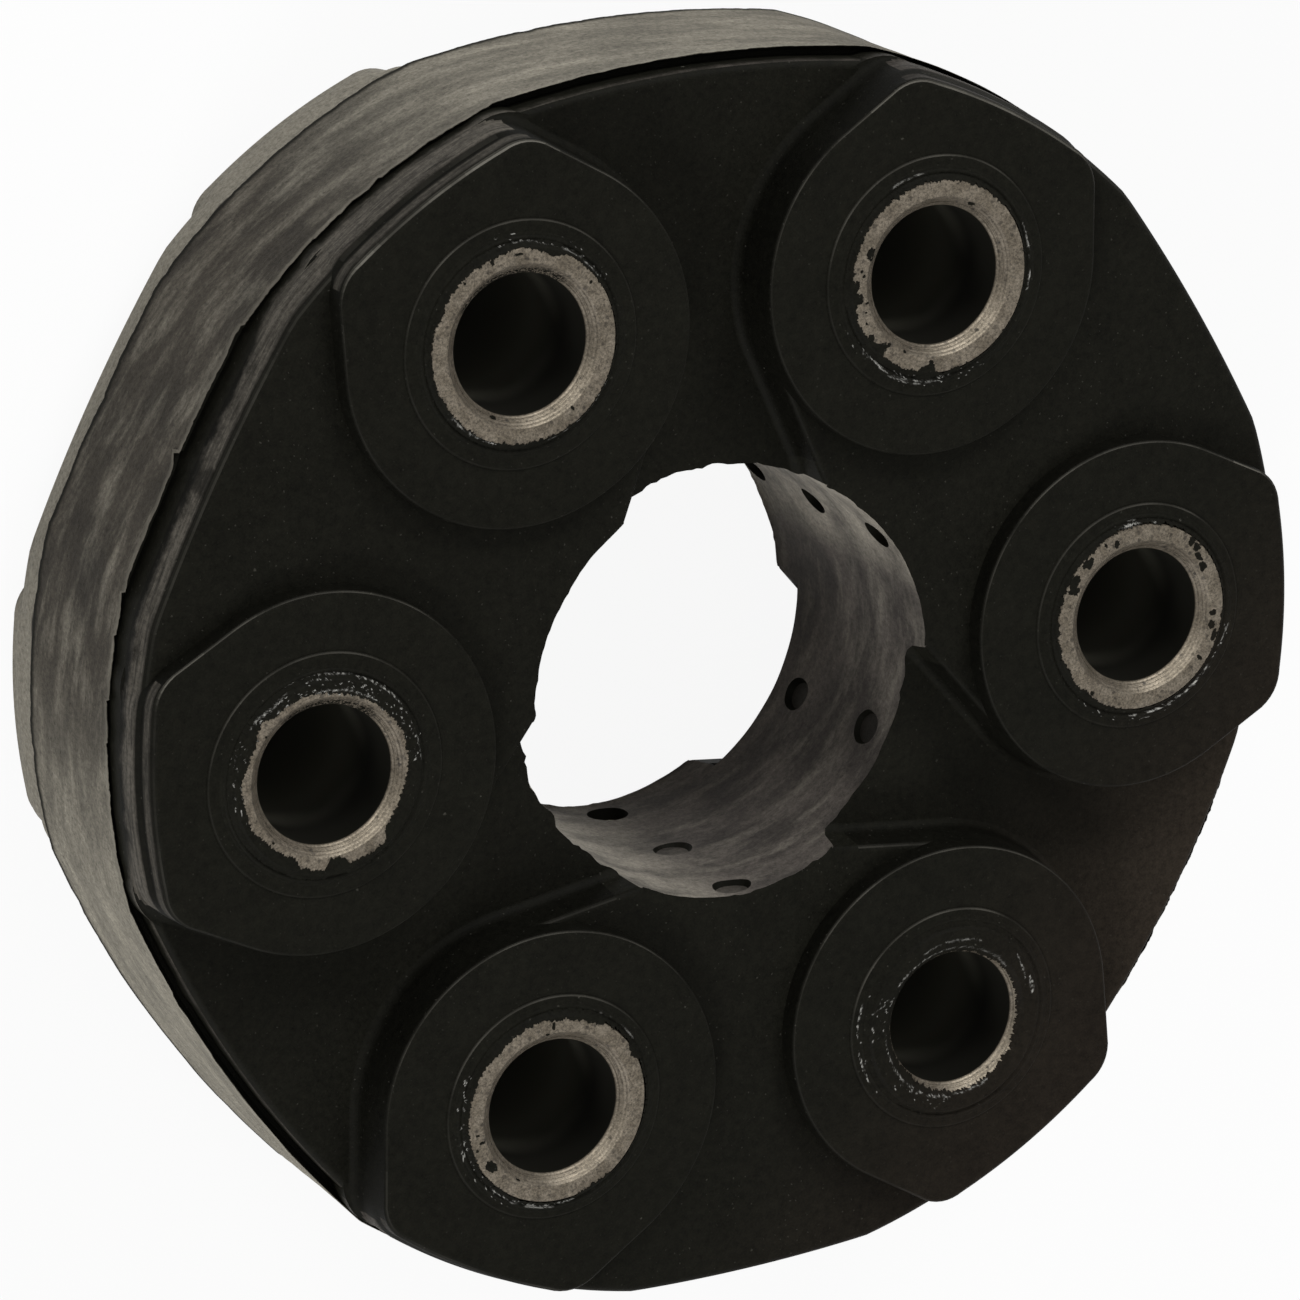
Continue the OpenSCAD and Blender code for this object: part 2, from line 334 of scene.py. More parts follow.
def lathe(name, profile, steps):
    """A ring: a closed profile of (radius, z) points spun round the Z axis."""
    clear_selection()
    bpy.ops.mesh.primitive_circle_add(vertices=len(profile), radius=BOLT_R, fill_type="NOTHING")
    piece = bpy.context.object
    piece.name = name
    for vert, (radius, z) in zip(piece.data.vertices, profile):
        vert.co = (radius, 0, z)
    bpy.context.scene.tool_settings.double_threshold = 1e-6
    bpy.ops.object.mode_set(mode="EDIT")
    bpy.ops.mesh.select_all(action="SELECT")
    bpy.ops.mesh.spin(steps=steps, angle=math.tau, center=(0, 0, 0), axis=(0, 0, 1))
    bpy.ops.mesh.select_all(action="SELECT")
    bpy.ops.mesh.remove_doubles(threshold=1e-6)
    bpy.ops.mesh.normals_make_consistent(inside=False)
    bpy.ops.object.mode_set(mode="OBJECT")
    return piece


def keep(piece, domain, **layers):
    """Keeps values on the faces or the points of a piece, for its material to read."""
    for name, values in layers.items():
        layer = piece.data.attributes.new(name, "FLOAT", domain)
        layer.data.foreach_set("value", values)


def reshape(piece, shape):
    """Moves each vertex of a piece to where shape puts it."""
    for vert in piece.data.vertices:
        vert.co = shape(vert.co.copy())
    piece.data.update()


def copy_piece(piece, name, matrix):
    """A copy with its own mesh, moved by a matrix; a mirrored one gets its faces turned back."""
    twin = piece.copy()
    twin.data = piece.data.copy()
    twin.name = name
    bpy.context.scene.collection.objects.link(twin)
    twin.data.transform(matrix)
    if matrix.determinant() < 0:
        twin.data.flip_normals()
    return twin


def to_back():
    """The mirror that takes the front of the disc to its back."""
    return Matrix.Translation((0, 0, THICKNESS)) @ Matrix.Diagonal((1, 1, -1, 1))


def to_sleeve(i):
    """The turn that takes a shape made with +X away from the disc's axis to sleeve i, from 0."""
    return Matrix.Rotation(i * PITCH, 4, "Z") @ Matrix.Translation((BOLT_R, 0, 0))


def join(pieces):
    """Makes several pieces one."""
    if len(pieces) == 1:
        return pieces[0]
    clear_selection()
    for piece in pieces:
        piece.select_set(True)
    bpy.context.view_layer.objects.active = pieces[0]
    bpy.ops.object.join()
    return pieces[0]


def combine(piece, operation, tool):
    """Joins or cuts two closed solids, and deletes the second."""
    activate(piece)
    step = piece.modifiers.new("Combine", "BOOLEAN")
    step.operation = operation
    step.solver = "MANIFOLD"
    step.object = tool
    bpy.ops.object.modifier_apply(modifier=step.name)
    bpy.data.objects.remove(tool)


def finish_smooth(piece, angle):
    """Smooth shading that keeps the flat faces flat and the sharp edges sharp."""
    activate(piece)
    bpy.ops.object.shade_smooth_by_angle(angle=math.radians(angle))
    step = piece.modifiers.new("Flat faces", "WEIGHTED_NORMAL")
    step.keep_sharp = True
    step.weight = 80
    bpy.ops.object.modifier_apply(modifier=step.name)


def outline_radius(sizes, angle, pads_out=0.0, edges_out=0.0):
    """The disc's outline: round over the pads, drawn in between them along shallow arcs."""
    sector = angle / PITCH % SLEEVE_COUNT
    pad = sizes.rim_radius + PAD_SHIFTS[round(sector) % SLEEVE_COUNT] * MM + pads_out
    edge = sizes.edge_radius + EDGE_SHIFTS[int(sector) % SLEEVE_COUNT] * MM + edges_out
    swing = (sector % 1.0 - 0.5) * PITCH
    at_high_surface = int(sector) % 2 == 0
    arc = sizes.edge_arc * (1.6 if at_high_surface else 1.0)
    centre = edge - arc
    along = centre * math.cos(swing) + math.sqrt(arc**2 - (centre * math.sin(swing)) ** 2)
    return min(pad, along)


def miters(points):
    """Outward offset direction at each point of a closed outline that runs anticlockwise."""
    found = []
    for i, point in enumerate(points):
        before = (point - points[i - 1]).normalized()
        after = (points[(i + 1) % len(points)] - point).normalized()
        first = Vector((before.y, -before.x))
        second = Vector((after.y, -after.x))
        found.append((first + second) / (1 + first.dot(second)))
    return found


def touch(point, radius):
    """Where a line from point touches the circle round the origin, on its +Y side."""
    turn = math.acos(radius / point.length)
    start = math.atan2(point.y, point.x)
    side = 1 if point.x > 0 else -1
    return Vector((radius * math.cos(start + side * turn), radius * math.sin(start + side * turn)))


def curve_round(start, corner, end, steps):
    """Points of a rounded corner, from start to end."""
    points = []
    for k in range(steps + 1):
        t = k / steps
        points.append((1 - t) ** 2 * start + 2 * t * (1 - t) * corner + t**2 * end)
    return points


def pad_outline(sizes, i):
    """Plan of a pad round its sleeve: (point, share of rim) pairs, +X away from the disc's axis."""
    corner_round = 2.4 * MM
    rim = sizes.rim_radius + PAD_SHIFTS[i] * MM
    corner = Vector((math.sqrt(rim**2 - sizes.tail_half_width**2) - BOLT_R, sizes.tail_half_width))
    foot = touch(corner, sizes.pad_radius)
    half_angle = math.asin(sizes.tail_half_width / rim) - corner_round / rim
    rim_end = Vector((rim * math.cos(half_angle) - BOLT_R, rim * math.sin(half_angle)))
    tail_end = corner + (foot - corner).normalized() * corner_round
    rim_steps = 10
    tail_steps = 4
    corner_steps = 7
    upper = []
    for k in range(rim_steps):
        angle = half_angle * k / rim_steps
        upper.append((Vector((rim * math.cos(angle) - BOLT_R, rim * math.sin(angle))), 1.0))
    for k, point in enumerate(curve_round(rim_end, corner, tail_end, corner_steps)):
        upper.append((point, 1 - k / corner_steps))
    for k in range(1, tail_steps):
        upper.append((tail_end.lerp(foot, k / tail_steps), 0.0))
    start = math.atan2(foot.y, foot.x)
    arc_steps = 42
    for k in range(arc_steps):
        angle = blend_values(start, math.pi, k / arc_steps)
        upper.append((polar(sizes.pad_radius, angle).to_2d(), 0.0))
    lower = [(Vector((point.x, -point.y)), share) for point, share in reversed(upper[1:])]
    return upper + [(Vector((-sizes.pad_radius, 0)), 0.0)] + lower


def high_outline(sizes, middle):
    """Plan of a high surface with its two webs, turned so that its middle lies on +X."""
    half = PITCH / 2
    nose_in = 0.3 * MM
    rim_steps = 44
    web_steps = 5
    web_foot = touch(Vector((sizes.bore_radius - nose_in - BOLT_R, 0)), sizes.pad_radius - HIGH_INSET)
    points = []
    for k in range(rim_steps + 1):
        swing = blend_values(-half, half, k / rim_steps)
        radius = outline_radius(sizes, swing + middle, -HIGH_INSET) - HIGH_INSET
        points.append((polar(radius, swing).to_2d(), 1.0))
    turn = Matrix.Rotation(half, 2)
    side = []
    nose = turn @ Vector((sizes.bore_radius - nose_in, 0))
    foot = turn @ (Vector((BOLT_R, 0)) + web_foot)
    side.append((turn @ Vector((BOLT_R, 0)), 0.0))
    for k in range(web_steps + 1):
        side.append((foot.lerp(nose, k / web_steps), 0.0))
    mirrored = [(Vector((point.x, -point.y)), share) for point, share in reversed(side)]
    return points + side + mirrored


def wall_profile(base, top, side_fillet, rim_fillet, ledge):
    """Rings of a moulded wall: (outset, z) at the sides and (outset, z) at the rim."""
    flare = 1.2 * MM
    sink = 0.06 * MM
    side_draft = 0.22 * MM
    rim_draft = ledge[-1][1]
    rows = [(flare, ROOT_Z, 0.0, ROOT_Z)]
    for turn in QUARTER_TURN:
        z = base - sink + flare * (1 - math.cos(turn))
        rows.append((flare * (1 - math.sin(turn)), z, 0.0, z))
    side_top = top - side_fillet
    rim_top = top - rim_fillet
    start = base + flare
    for share, out, z in ledge:
        rows.append((-side_draft * share, blend_values(start, side_top, share), -out, z))
    for turn in QUARTER_TURN:
        rows.append((
            -side_draft - side_fillet * (1 - math.cos(turn)),
            side_top + side_fillet * math.sin(turn),
            -rim_draft - rim_fillet * (1 - math.cos(turn)),
            rim_top + rim_fillet * math.sin(turn),
        ))
    return rows


def moulded_block(name, outline, rows):
    """A block with drafted walls, a flared foot and a rounded top over a plan."""
    points = [point for point, share in outline]
    shares = [share for point, share in outline]
    outs = miters(points)
    rings = []
    for side_out, side_z, rim_out, rim_z in rows:
        ring = []
        for point, out, share in zip(points, outs, shares):
            moved = point + out * blend_values(side_out, rim_out, share)
            ring.append(Vector((moved.x, moved.y, blend_values(side_z, rim_z, share))))
        rings.append(ring)
    return loft(name, rings)


def build_core(sizes):
    """The disc between its two low surfaces, with rounded edges."""
    fillet = 0.75 * MM
    top = THICKNESS - sizes.low_drop
    rows = [(0.0, MIDDLE_Z)]
    for turn in QUARTER_TURN:
        rows.append((-fillet * (1 - math.cos(turn)), top - fillet * (1 - math.sin(turn))))
    rows = [(out, THICKNESS - z) for out, z in reversed(rows[1:])] + rows
    rings = []
    for out, z in rows:
        ring = []
        for k in range(DISC_STEPS):
            angle = math.tau * k / DISC_STEPS
            radius = outline_radius(sizes, angle, -CORE_INSET, -CORE_INSET) - CORE_INSET
            ring.append(polar(radius + out, angle, z))
        rings.append(ring)
    return loft("rubber_moulding", rings)


def build_pads(sizes):
    """The raised pads on the front, with a ledge along their walls at the rim."""
    low = THICKNESS - sizes.low_drop
    top = THICKNESS - sizes.pad_drop
    ledge = [
        (0.2, 0.0, 28.6 * MM),
        (0.45, 0.05 * MM, 29.4 * MM),
        (0.6, 0.16 * MM, 29.8 * MM),
        (0.75, 0.42 * MM, 30.15 * MM),
        (0.9, 0.5 * MM, 30.5 * MM),
        (1.0, 0.56 * MM, 31.3 * MM),
    ]
    rows = wall_profile(low, top, 0.42 * MM, 0.75 * MM, ledge)
    pads = []
    for i in range(SLEEVE_COUNT):
        pad = moulded_block(f"pad_{i}", pad_outline(sizes, i), rows)
        pad.data.transform(to_sleeve(i))
        pads.append(pad)
    return join(pads)


def build_high_surfaces(sizes):
    """The high surfaces on the front, with their webs towards the bore."""
    low = THICKNESS - sizes.low_drop
    top = THICKNESS - sizes.high_drop
    ledge = [
        (0.4, 0.05 * MM, 28.1 * MM),
        (0.5, 0.14 * MM, 28.35 * MM),
        (0.75, 0.16 * MM, 28.9 * MM),
        (0.85, 0.26 * MM, 29.1 * MM),
        (1.0, 0.28 * MM, 29.4 * MM),
    ]
    rows = wall_profile(low, top, 0.6 * MM, 0.85 * MM, ledge)
    blocks = []
    for i in range(0, SLEEVE_COUNT, 2):
        middle = (i + 0.5) * PITCH
        block = moulded_block(f"high_{i}", high_outline(sizes, middle), rows)
        block.data.transform(Matrix.Rotation(middle, 4, "Z"))
        blocks.append(block)
    return join(blocks)


def build_surrounds(sizes):
    """The low boss round each sleeve, with a groove and a torn ridge beside the steel."""
    top = THICKNESS - sizes.pad_drop
    profile = [
        (8.30, -1.5), (8.30, 0.30), (8.46, 0.26), (8.62, 0.08), (8.86, 0.06), (9.00, 0.22),
        (9.16, 0.24), (9.30, 0.20), (9.60, 0.20), (10.52, 0.20), (10.66, 0.19), (10.77, 0.13),
        (10.83, 0.04), (10.87, -0.1), (10.90, -0.3), (10.90, -1.5),
    ]
    ring = lathe("surround", [(r * MM, top + z * MM) for r, z in profile], 120)
    rings = []
    for i in range(SLEEVE_COUNT):
        twin = copy_piece(ring, f"surround_{i}", Matrix.Identity(4))

        def tear(co, seed=i):
            radius = co.to_2d().length
            drawn_in = (10.9 - BOSS_R[seed]) * MM * ease(radius, 9.7 * MM, 10.55 * MM)
            co.x *= 1 - drawn_in / radius
            co.y *= 1 - drawn_in / radius
            if 8.9 * MM < radius < 9.25 * MM and co.z > top:
                co.z += 0.16 * MM * wave(co.x / MM * 1.6, co.y / MM * 1.6, seed * 7.3)
            return co

        reshape(twin, tear)
        twin.data.transform(to_sleeve(i))
        rings.append(twin)
    bpy.data.objects.remove(ring)
    return join(rings)


def build_bore_tool(sizes):
    """What the bore is cut with: a plug whose wall is slightly uneven."""
    reach = 2 * MM
    layers = 22
    around = 240
    rings = []
    for layer in range(layers + 1):
        z = blend_values(-reach, THICKNESS + reach, layer / layers)
        ring = []
        for k in range(around):
            angle = math.tau * k / around
            uneven = 0.05 * MM * ripple(6, angle, z / MM * 0.12)
            ring.append(polar(sizes.bore_radius + uneven, angle, z))
        rings.append(ring)
    return loft("bore_tool", rings)


def build_mark_tools(sizes):
    """A slightly tapered plug for each mark in the bore, with an uneven outline."""
    tools = []
    for k, (degrees, z, half_width, half_height, depth, shade) in enumerate(PIN_MARKS):
        clear_selection()
        bpy.ops.mesh.primitive_cone_add(
            vertices=40, radius1=1.14 * MM, radius2=0.86 * MM, depth=2 * depth * MM, end_fill_type="NGON"
        )
        tool = bpy.context.object
        for vert in tool.data.vertices:
            uneven = 1 + 0.2 * wave(vert.co.x / MM * 0.7, vert.co.y / MM * 0.7, k * 3.7)
            vert.co.x *= half_height * uneven
            vert.co.y *= half_width * uneven
        angle = math.radians(degrees)
        upright = Matrix.Rotation(math.radians(90), 4, "Y")
        place = Matrix.Translation(polar(sizes.bore_radius, angle, z * MM))
        tool.data.transform(place @ Matrix.Rotation(angle, 4, "Z") @ upright)
        tools.append(tool)
    return join(tools)


def build_sleeve_tools():
    """What the holes for the sleeves are cut with."""
    tools = []
    clearance = 0.06 * MM
    for i in range(SLEEVE_COUNT):
        clear_selection()
        bpy.ops.mesh.primitive_cylinder_add(
            vertices=120, radius=SLEEVE_R + clearance, depth=2 * THICKNESS, location=(0, 0, MIDDLE_Z)
        )
        tool = bpy.context.object
        bpy.ops.object.transform_apply(location=True)
        tool.data.transform(Matrix.Translation(polar(BOLT_R, i * PITCH)))
        tools.append(tool)
    return join(tools)


def mark_at(sizes, point, reach):
    """The pin mark that a point of the bore lies in, if any; reach widens or narrows the marks."""
    angle = math.degrees(math.atan2(point.y, point.x))
    for mark in PIN_MARKS:
        swing = (angle - mark[0] + 180) % 360 - 180
        across = math.radians(swing) * sizes.bore_radius / MM / mark[2]
        along = (point.z / MM - mark[1]) / mark[3]
        if math.hypot(across, along) < reach:
            return mark
    return None


def tear_bore_edges(body, sizes):
    """Pulls the edges of the bore into an uneven line of flash, torn back at the low surfaces."""
    mesh = bmesh.new()
    mesh.from_mesh(body.data)
    for vert in mesh.verts:
        radius = vert.co.to_2d().length
        if abs(radius - sizes.bore_radius) > 0.2 * MM or mark_at(sizes, vert.co, 1.5):
            continue
        flat = any(abs(face.normal.z) > 0.7 for face in vert.link_faces)
        upright = any(abs(face.normal.z) < 0.3 for face in vert.link_faces)
        if not (flat and upright):
            continue
        angle = math.atan2(vert.co.y, vert.co.x)
        front = vert.co.z > MIDDLE_Z
        depth = THICKNESS - vert.co.z if front else vert.co.z
        low = depth > 4.5 * MM
        seed = 2.3 if front else 8.9
        rough = ripple(9, angle, seed)
        fine = ripple(26, angle, seed)
        spike = max(0.0, ripple(17, angle, seed + 4) - 0.3)
        reach = 0.1 + 0.2 * max(rough, 0.0) + 0.06 * fine + 0.5 * spike
        rise = 0.03 * fine
        if low:
            reach = (0.15 if front else -0.75) + 0.3 * rough + 0.12 * fine + 1.1 * spike
            rise = 0.12 * fine + 0.5 * spike + (0.0 if front else 0.5)
        vert.co.x -= reach * MM * math.cos(angle)
        vert.co.y -= reach * MM * math.sin(angle)
        vert.co.z += (0.6 if front else 1.0) * rise * MM
    mesh.to_mesh(body.data)
    mesh.free()


def paint_faces(body, sizes):
    """Marks the faces of the shoulder, the bore and the pin marks for the rubber's material, and how
    steep the walls between the low surfaces and the pads are, for painted shade on them.
    """
    low_surface = 10.33 * MM
    pad_top = 15.6 * MM
    shoulder = []
    bore = []
    recess = []
    wall = []
    for face in body.data.polygons:
        centre = face.center
        radius = centre.to_2d().length
        steep = abs(face.normal.z) < 0.55
        height = abs(centre.z - MIDDLE_Z)
        outward = face.normal.to_2d().dot(centre.to_2d()) / radius
        outside = steep and radius > 50 * MM and outward > 0.86
        shoulder.append(1.0 if outside and height < 15.35 * MM else 0.0)
        # Steeper walls between the low surfaces and the pads get more painted shade
        between = low_surface < height < pad_top and radius > 20 * MM
        wall.append(min(1.4 * (1 - abs(face.normal.z)), 1.0) if between else 0.0)
        within = sizes.bore_radius + 0.07 * MM < radius < sizes.bore_radius + 1.5 * MM
        mark = mark_at(sizes, centre, 1.3) if within else None
        floor = mark and radius > sizes.bore_radius + (mark[4] - 0.1) * MM
        recess.append(0.0 if not mark else mark[5] if floor else 1.0)
        inside = radius < sizes.bore_radius + 0.12 * MM and abs(face.normal.z) < 0.8
        bore.append(1.0 if inside or floor else 0.0)
    keep(body, "FACE", shoulder=shoulder, bore=bore, recess=recess, wall=wall)


def paint_edges(body):
    """Marks the rounded edges that get a painted highlight, most where they face the top left."""
    pad_top = 15.7 * MM
    high_top = 13.8 * MM
    most = math.radians(102)
    rubbed = []
    for face in body.data.polygons:
        height = abs(face.center.z - MIDDLE_Z)
        tilt = abs(face.normal.z)
        value = 0.0
        rounded = pad_top - 0.45 * MM < height < pad_top + 0.2 * MM
        rounded = rounded or high_top - 0.6 * MM < height < high_top
        if rounded and 0.5 < tilt < 0.88 and face.center.to_2d().length > 21 * MM:
            facing = math.cos(math.atan2(face.normal.y, face.normal.x) - most)
            # Uneven strength of the painted highlight along the edges
            highlight_strength = 0.6 + 0.7 * wave(face.center.x / MM * 0.35, face.center.y / MM * 0.35, 4.4)
            band = 1.0 if tilt > 0.7 else 0.3
            at_rim = face.center.to_2d().length > 51 * MM
            share = (0.25 if height < high_top else 1.0) if at_rim else 0.42
            share *= 0.4 if height < high_top and face.center.to_2d().length < 29 * MM else 1.0
            value = band * share * highlight_strength * (0.12 + 0.88 * ease(facing, 0.3, 0.95))
        rubbed.append(min(max(value, 0.0), 1.0))
    keep(body, "FACE", rubbed=rubbed)


def build_sleeve(i):
    """A turned steel sleeve with a wide inner chamfer at both ends, marked for a painted highlight where
    it is lit.
    """
    half = STEEL_TOP - MIDDLE_Z
    bore = 6.05 * MM
    chamfer = CHAMFER_R - bore
    edge = 0.16 * MM
    upper = [
        (bore, 0.0), (bore, half - chamfer - 0.03 * MM), (bore + 0.04 * MM, half - chamfer + 0.05 * MM),
        (bore + 0.34 * MM, half - 0.6 * chamfer), (bore + 0.38 * MM, half - 0.6 * chamfer - 0.02 * MM),
        (CHAMFER_R - 0.1 * MM, half - 0.11 * MM), (CHAMFER_R, half - 0.02 * MM),
        (CHAMFER_R + 0.08 * MM, half), (SLEEVE_R - edge, half),
        (SLEEVE_R - 0.4 * edge, half - 0.2 * edge), (SLEEVE_R, half - edge), (SLEEVE_R, 0.0),
    ]
    ring = upper + [(radius, -z) for radius, z in reversed(upper[1:-1])]
    sleeve = lathe(f"steel_sleeve_{i}", [(radius, MIDDLE_Z + z) for radius, z in ring], 160)
    first, last = BLACK_CHAMFERS.get(i, (0, 0))
    soft = 8
    light = 303
    black = []
    lit = []
    for vert in sleeve.data.vertices:
        degrees = math.degrees(math.atan2(vert.co.y, vert.co.x)) % 360
        on_cut = ease(vert.co.to_2d().length, 6.72 * MM, 6.6 * MM)
        within = ease(degrees, first, first + soft) * ease(degrees, last, last - soft)
        black.append(on_cut * within if last else 0.0)
        lit.append(ease(abs(degrees - light), 58, 0))
    keep(sleeve, "POINT", black=black, lit=lit)
    sleeve.data.transform(Matrix.Translation(polar(BOLT_R, (i - 1) * PITCH)))
    finish_smooth(sleeve, 24)
    return sleeve


def skin_height(radius):
    """Top of the rubber skin over a sleeve's end and the groove round it."""
    down = max(CHAMFER_R - radius, 0.0)
    slope = 0.53 * MM * ease(radius, 8.28 * MM, 8.86 * MM)
    ridge = 0.1 * MM * ease(radius, 8.84 * MM, 9.04 * MM) * ease(radius, 9.28 * MM, 9.12 * MM)
    end = 0.1 * MM * ease(radius, 9.3 * MM, SKIN_R)
    return SKIN_TOP - down - slope + ridge - end


def build_skin(i):
    """The thin torn skin of rubber that creeps over a sleeve's end."""
    wide = i in (4, 6)
    steps = 40 if wide else 20
    levels = [0, 0.008, 0.02, 0.035] + [0.055 + 0.9 * k / steps for k in range(steps)] + [0.965, 1]
    film = 0.08 * MM
    top = [(BOLT_R + share * MM, MM) for share in levels]
    under = [(BOLT_R + share * MM, 0.0) for share in (1.0, 0.66, 0.33, 0.0)]
    skin = lathe(f"sleeve_skin_{i}", top + under, SKIN_STEPS)
    seed = i * 5.7
    glints = []
    for vert in skin.data.vertices:
        share = vert.co.to_2d().length / MM - BOLT_R / MM
        on_top = vert.co.z > 0.5 * MM
        angle = math.atan2(vert.co.y, vert.co.x)
        degrees = math.degrees(angle)
        torn = 0.1 * ripple(8, angle, seed) + 0.16 * ripple(24, angle, seed)
        torn += 0.2 * ripple(62, angle, seed) + 0.16 * ripple(150, angle, seed)
        start = (follow(SKIN_EDGES[i], degrees) + torn) * MM
        radius = blend_values(start, SKIN_R, min(max(share, 0.0), 1.0))
        z = skin_height(radius)
        if on_top:
            lump = 0.035 * ripple(radius / MM * 5, angle, seed + 9)
            z += lump * MM * ease(radius, 8.2 * MM, 8.5 * MM)
        else:
            z -= film
        glint = 0.0
        along = radius / MM * angle
        streaky = wave(along * (4.0 if wide else 1.6), radius / MM * 6, seed + 2)
        streaky += 0.6 * wave(along * 7, radius / MM * 7, seed + 6)
        for first, last, start_ring, end_ring, strength, half_width in GLINTS[i]:
            turned = (degrees - first) % 360
            if turned < last - first:
                ring = blend_values(start_ring, end_ring, turned / (last - first))
                ring += 0.08 * ripple(13, angle, seed + 3)
                taper = min(1.0, turned / 8 + 0.3, (last - first - turned) / 8 + 0.3)
                near = ease(abs(radius / MM - ring), half_width * taper + 0.05, 0.5 * half_width * taper)
                glint = max(glint, strength * near * ease(streaky, -0.1, 0.6))
        limit = 0.48 if i == 4 else 0.54
        for first, last, low, high in SPARKLES[i]:
            if (degrees - first) % 360 < last - first and low < radius / MM < high:
                dots = wave(along * 5, radius / MM * 5, seed + 8)
                glint = max(glint, 0.7 * ease(dots, limit, limit + 0.12))
        if on_top:
            z += 0.03 * MM * glint - 0.03 * MM * ease(share, 0.03, 0.0)
        glints.append(glint if on_top else 0.0)
        vert.co = polar(radius, angle, min(z, THICKNESS))
    keep(skin, "POINT", glint=glints)
    flecks = [build_fleck(i, k, fleck) for k, fleck in enumerate(FLECKS[i])]
    skin = join([skin, *flecks])
    skin.data.transform(Matrix.Translation(polar(BOLT_R, (i - 1) * PITCH)))
    back = copy_piece(skin, "back", to_back())
    skin = join([skin, back])
    finish_smooth(skin, 40)
    return skin


def build_fleck(i, k, fleck):
    """A thin irregular patch of rubber that sticks to a sleeve's end."""
    degrees, ring, half_length, half_width = fleck
    around = 28
    middle = polar(ring * MM, math.radians(degrees))
    turn = math.radians(degrees + 90)
    low = STEEL_TOP - 0.02 * MM
    high = SKIN_TOP - (0.012 + 0.002 * k) * MM
    rings = []
    for scale, z in ((1.0, low), (1.0, high - 0.02 * MM), (0.93, high)):
        points = []
        for step in range(around):
            angle = math.tau * step / around
            seed = i * 11.3 + k * 2.9
            uneven = 1 + 0.5 * ripple(1.7, angle, seed)
            uneven += 0.3 * ripple(5, angle, seed)
            along = half_length * uneven * scale * math.cos(angle) * MM
            across = half_width * uneven * scale * math.sin(angle) * MM
            place = Matrix.Rotation(turn, 2) @ Vector((along, across))
            point = middle + place.to_3d()
            down = max(CHAMFER_R - point.to_2d().length, 0.0)
            point.z = z - down
            points.append(point)
        rings.append(points)
    return loft(f"fleck_{i}_{k}", rings)


def own(piece, slot, *nodes):
    """Makes a finished piece ride on the disc, in place of the CAD nodes that it stands for."""
    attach(piece, "root")
    if nodes:
        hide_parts(*nodes)


def dress(piece, material):
    piece.data.materials.clear()
    piece.data.materials.append(material)


def add_node(tree, kind, inputs, **settings):
    """A new node; each input is set to a value, or linked where a socket is given."""
    made = tree.nodes.new(kind)
    for name, value in settings.items():
        setattr(made, name, value)
    for name, value in inputs.items():
        if isinstance(value, bpy.types.NodeSocket):
            tree.links.new(value, made.inputs[name])
        else:
            made.inputs[name].default_value = value
    return made


def link(tree, target, **sockets):
    """Links sockets into the inputs of a shader or a group's output; _ in a name stands for a space."""
    for name, socket in sockets.items():
        tree.links.new(socket, target[name.replace("_", " ")])


def calc(tree, operation, first, second=0.0):
    return add_node(tree, "ShaderNodeMath", {0: first, 1: second}, operation=operation).outputs[0]


def plus(tree, first, second):
    return calc(tree, "ADD", first, second)


def minus(tree, first, second):
    return calc(tree, "SUBTRACT", first, second)


def times(tree, first, second):
    return calc(tree, "MULTIPLY", first, second)


def larger(tree, first, second):
    return calc(tree, "MAXIMUM", first, second)


def vector_calc(tree, operation, inputs, output="Vector"):
    return add_node(tree, "ShaderNodeVectorMath", inputs, operation=operation).outputs[output]


def axes(tree, position):
    """The sockets of a position's X, Y and Z."""
    return add_node(tree, "ShaderNodeSeparateXYZ", {0: position}).outputs


def fade(tree, value, start, end):
    """0 at start and 1 at end, eased in between."""
    given = {"Value": value, "From Min": start, "From Max": end}
    return add_node(tree, "ShaderNodeMapRange", given, interpolation_type="SMOOTHSTEP").outputs["Result"]


def span(tree, value, low, high):
    """Takes a value from 0..1 to low..high."""
    given = {"Value": value, "To Min": low, "To Max": high}
    return add_node(tree, "ShaderNodeMapRange", given).outputs["Result"]


def blend(tree, share, first, second):
    """Mix of two colours; the Mix node numbers its colour inputs 6 and 7, and their result 2."""
    given = {0: share}
    for place, color in ((6, first), (7, second)):
        given[place] = color if isinstance(color, bpy.types.NodeSocket) else (*color, 1.0)
    return add_node(tree, "ShaderNodeMix", given, data_type="RGBA").outputs[2]


def stretch(tree, position, factors):
    return vector_calc(tree, "MULTIPLY", {0: position, 1: factors})


def scaled(tree, color, factor):
    """A colour made lighter or darker by a factor, or a longer or shorter vector."""
    return vector_calc(tree, "SCALE", {0: color, "Scale": factor})


def cloud(tree, position, scale, detail=3.0, roughness=0.55):
    given = {"Vector": position, "Scale": scale, "Detail": detail, "Roughness": roughness}
    return add_node(tree, "ShaderNodeTexNoise", given).outputs["Fac"]


def attribute(tree, name):
    return add_node(tree, "ShaderNodeAttribute", {}, attribute_name=name).outputs["Fac"]


def new_group(name, inputs, outputs):
    """An empty shader group; returns its tree, its input sockets and its output node's inputs."""
    tree = bpy.data.node_groups.new(name, "ShaderNodeTree")
    for label, kind in inputs:
        tree.interface.new_socket(label, in_out="INPUT", socket_type=kind)
    for label, kind in outputs:
        tree.interface.new_socket(label, in_out="OUTPUT", socket_type=kind)
    source = tree.nodes.new("NodeGroupInput")
    target = tree.nodes.new("NodeGroupOutput")
    return tree, source.outputs, target.inputs


def use_group(tree, group, inputs):
    return add_node(tree, "ShaderNodeGroup", inputs, node_tree=group).outputs


def sleeve_radius(tree, groups, position):
    return use_group(tree, groups["sleeve"], {"Position": position})["Radius"]


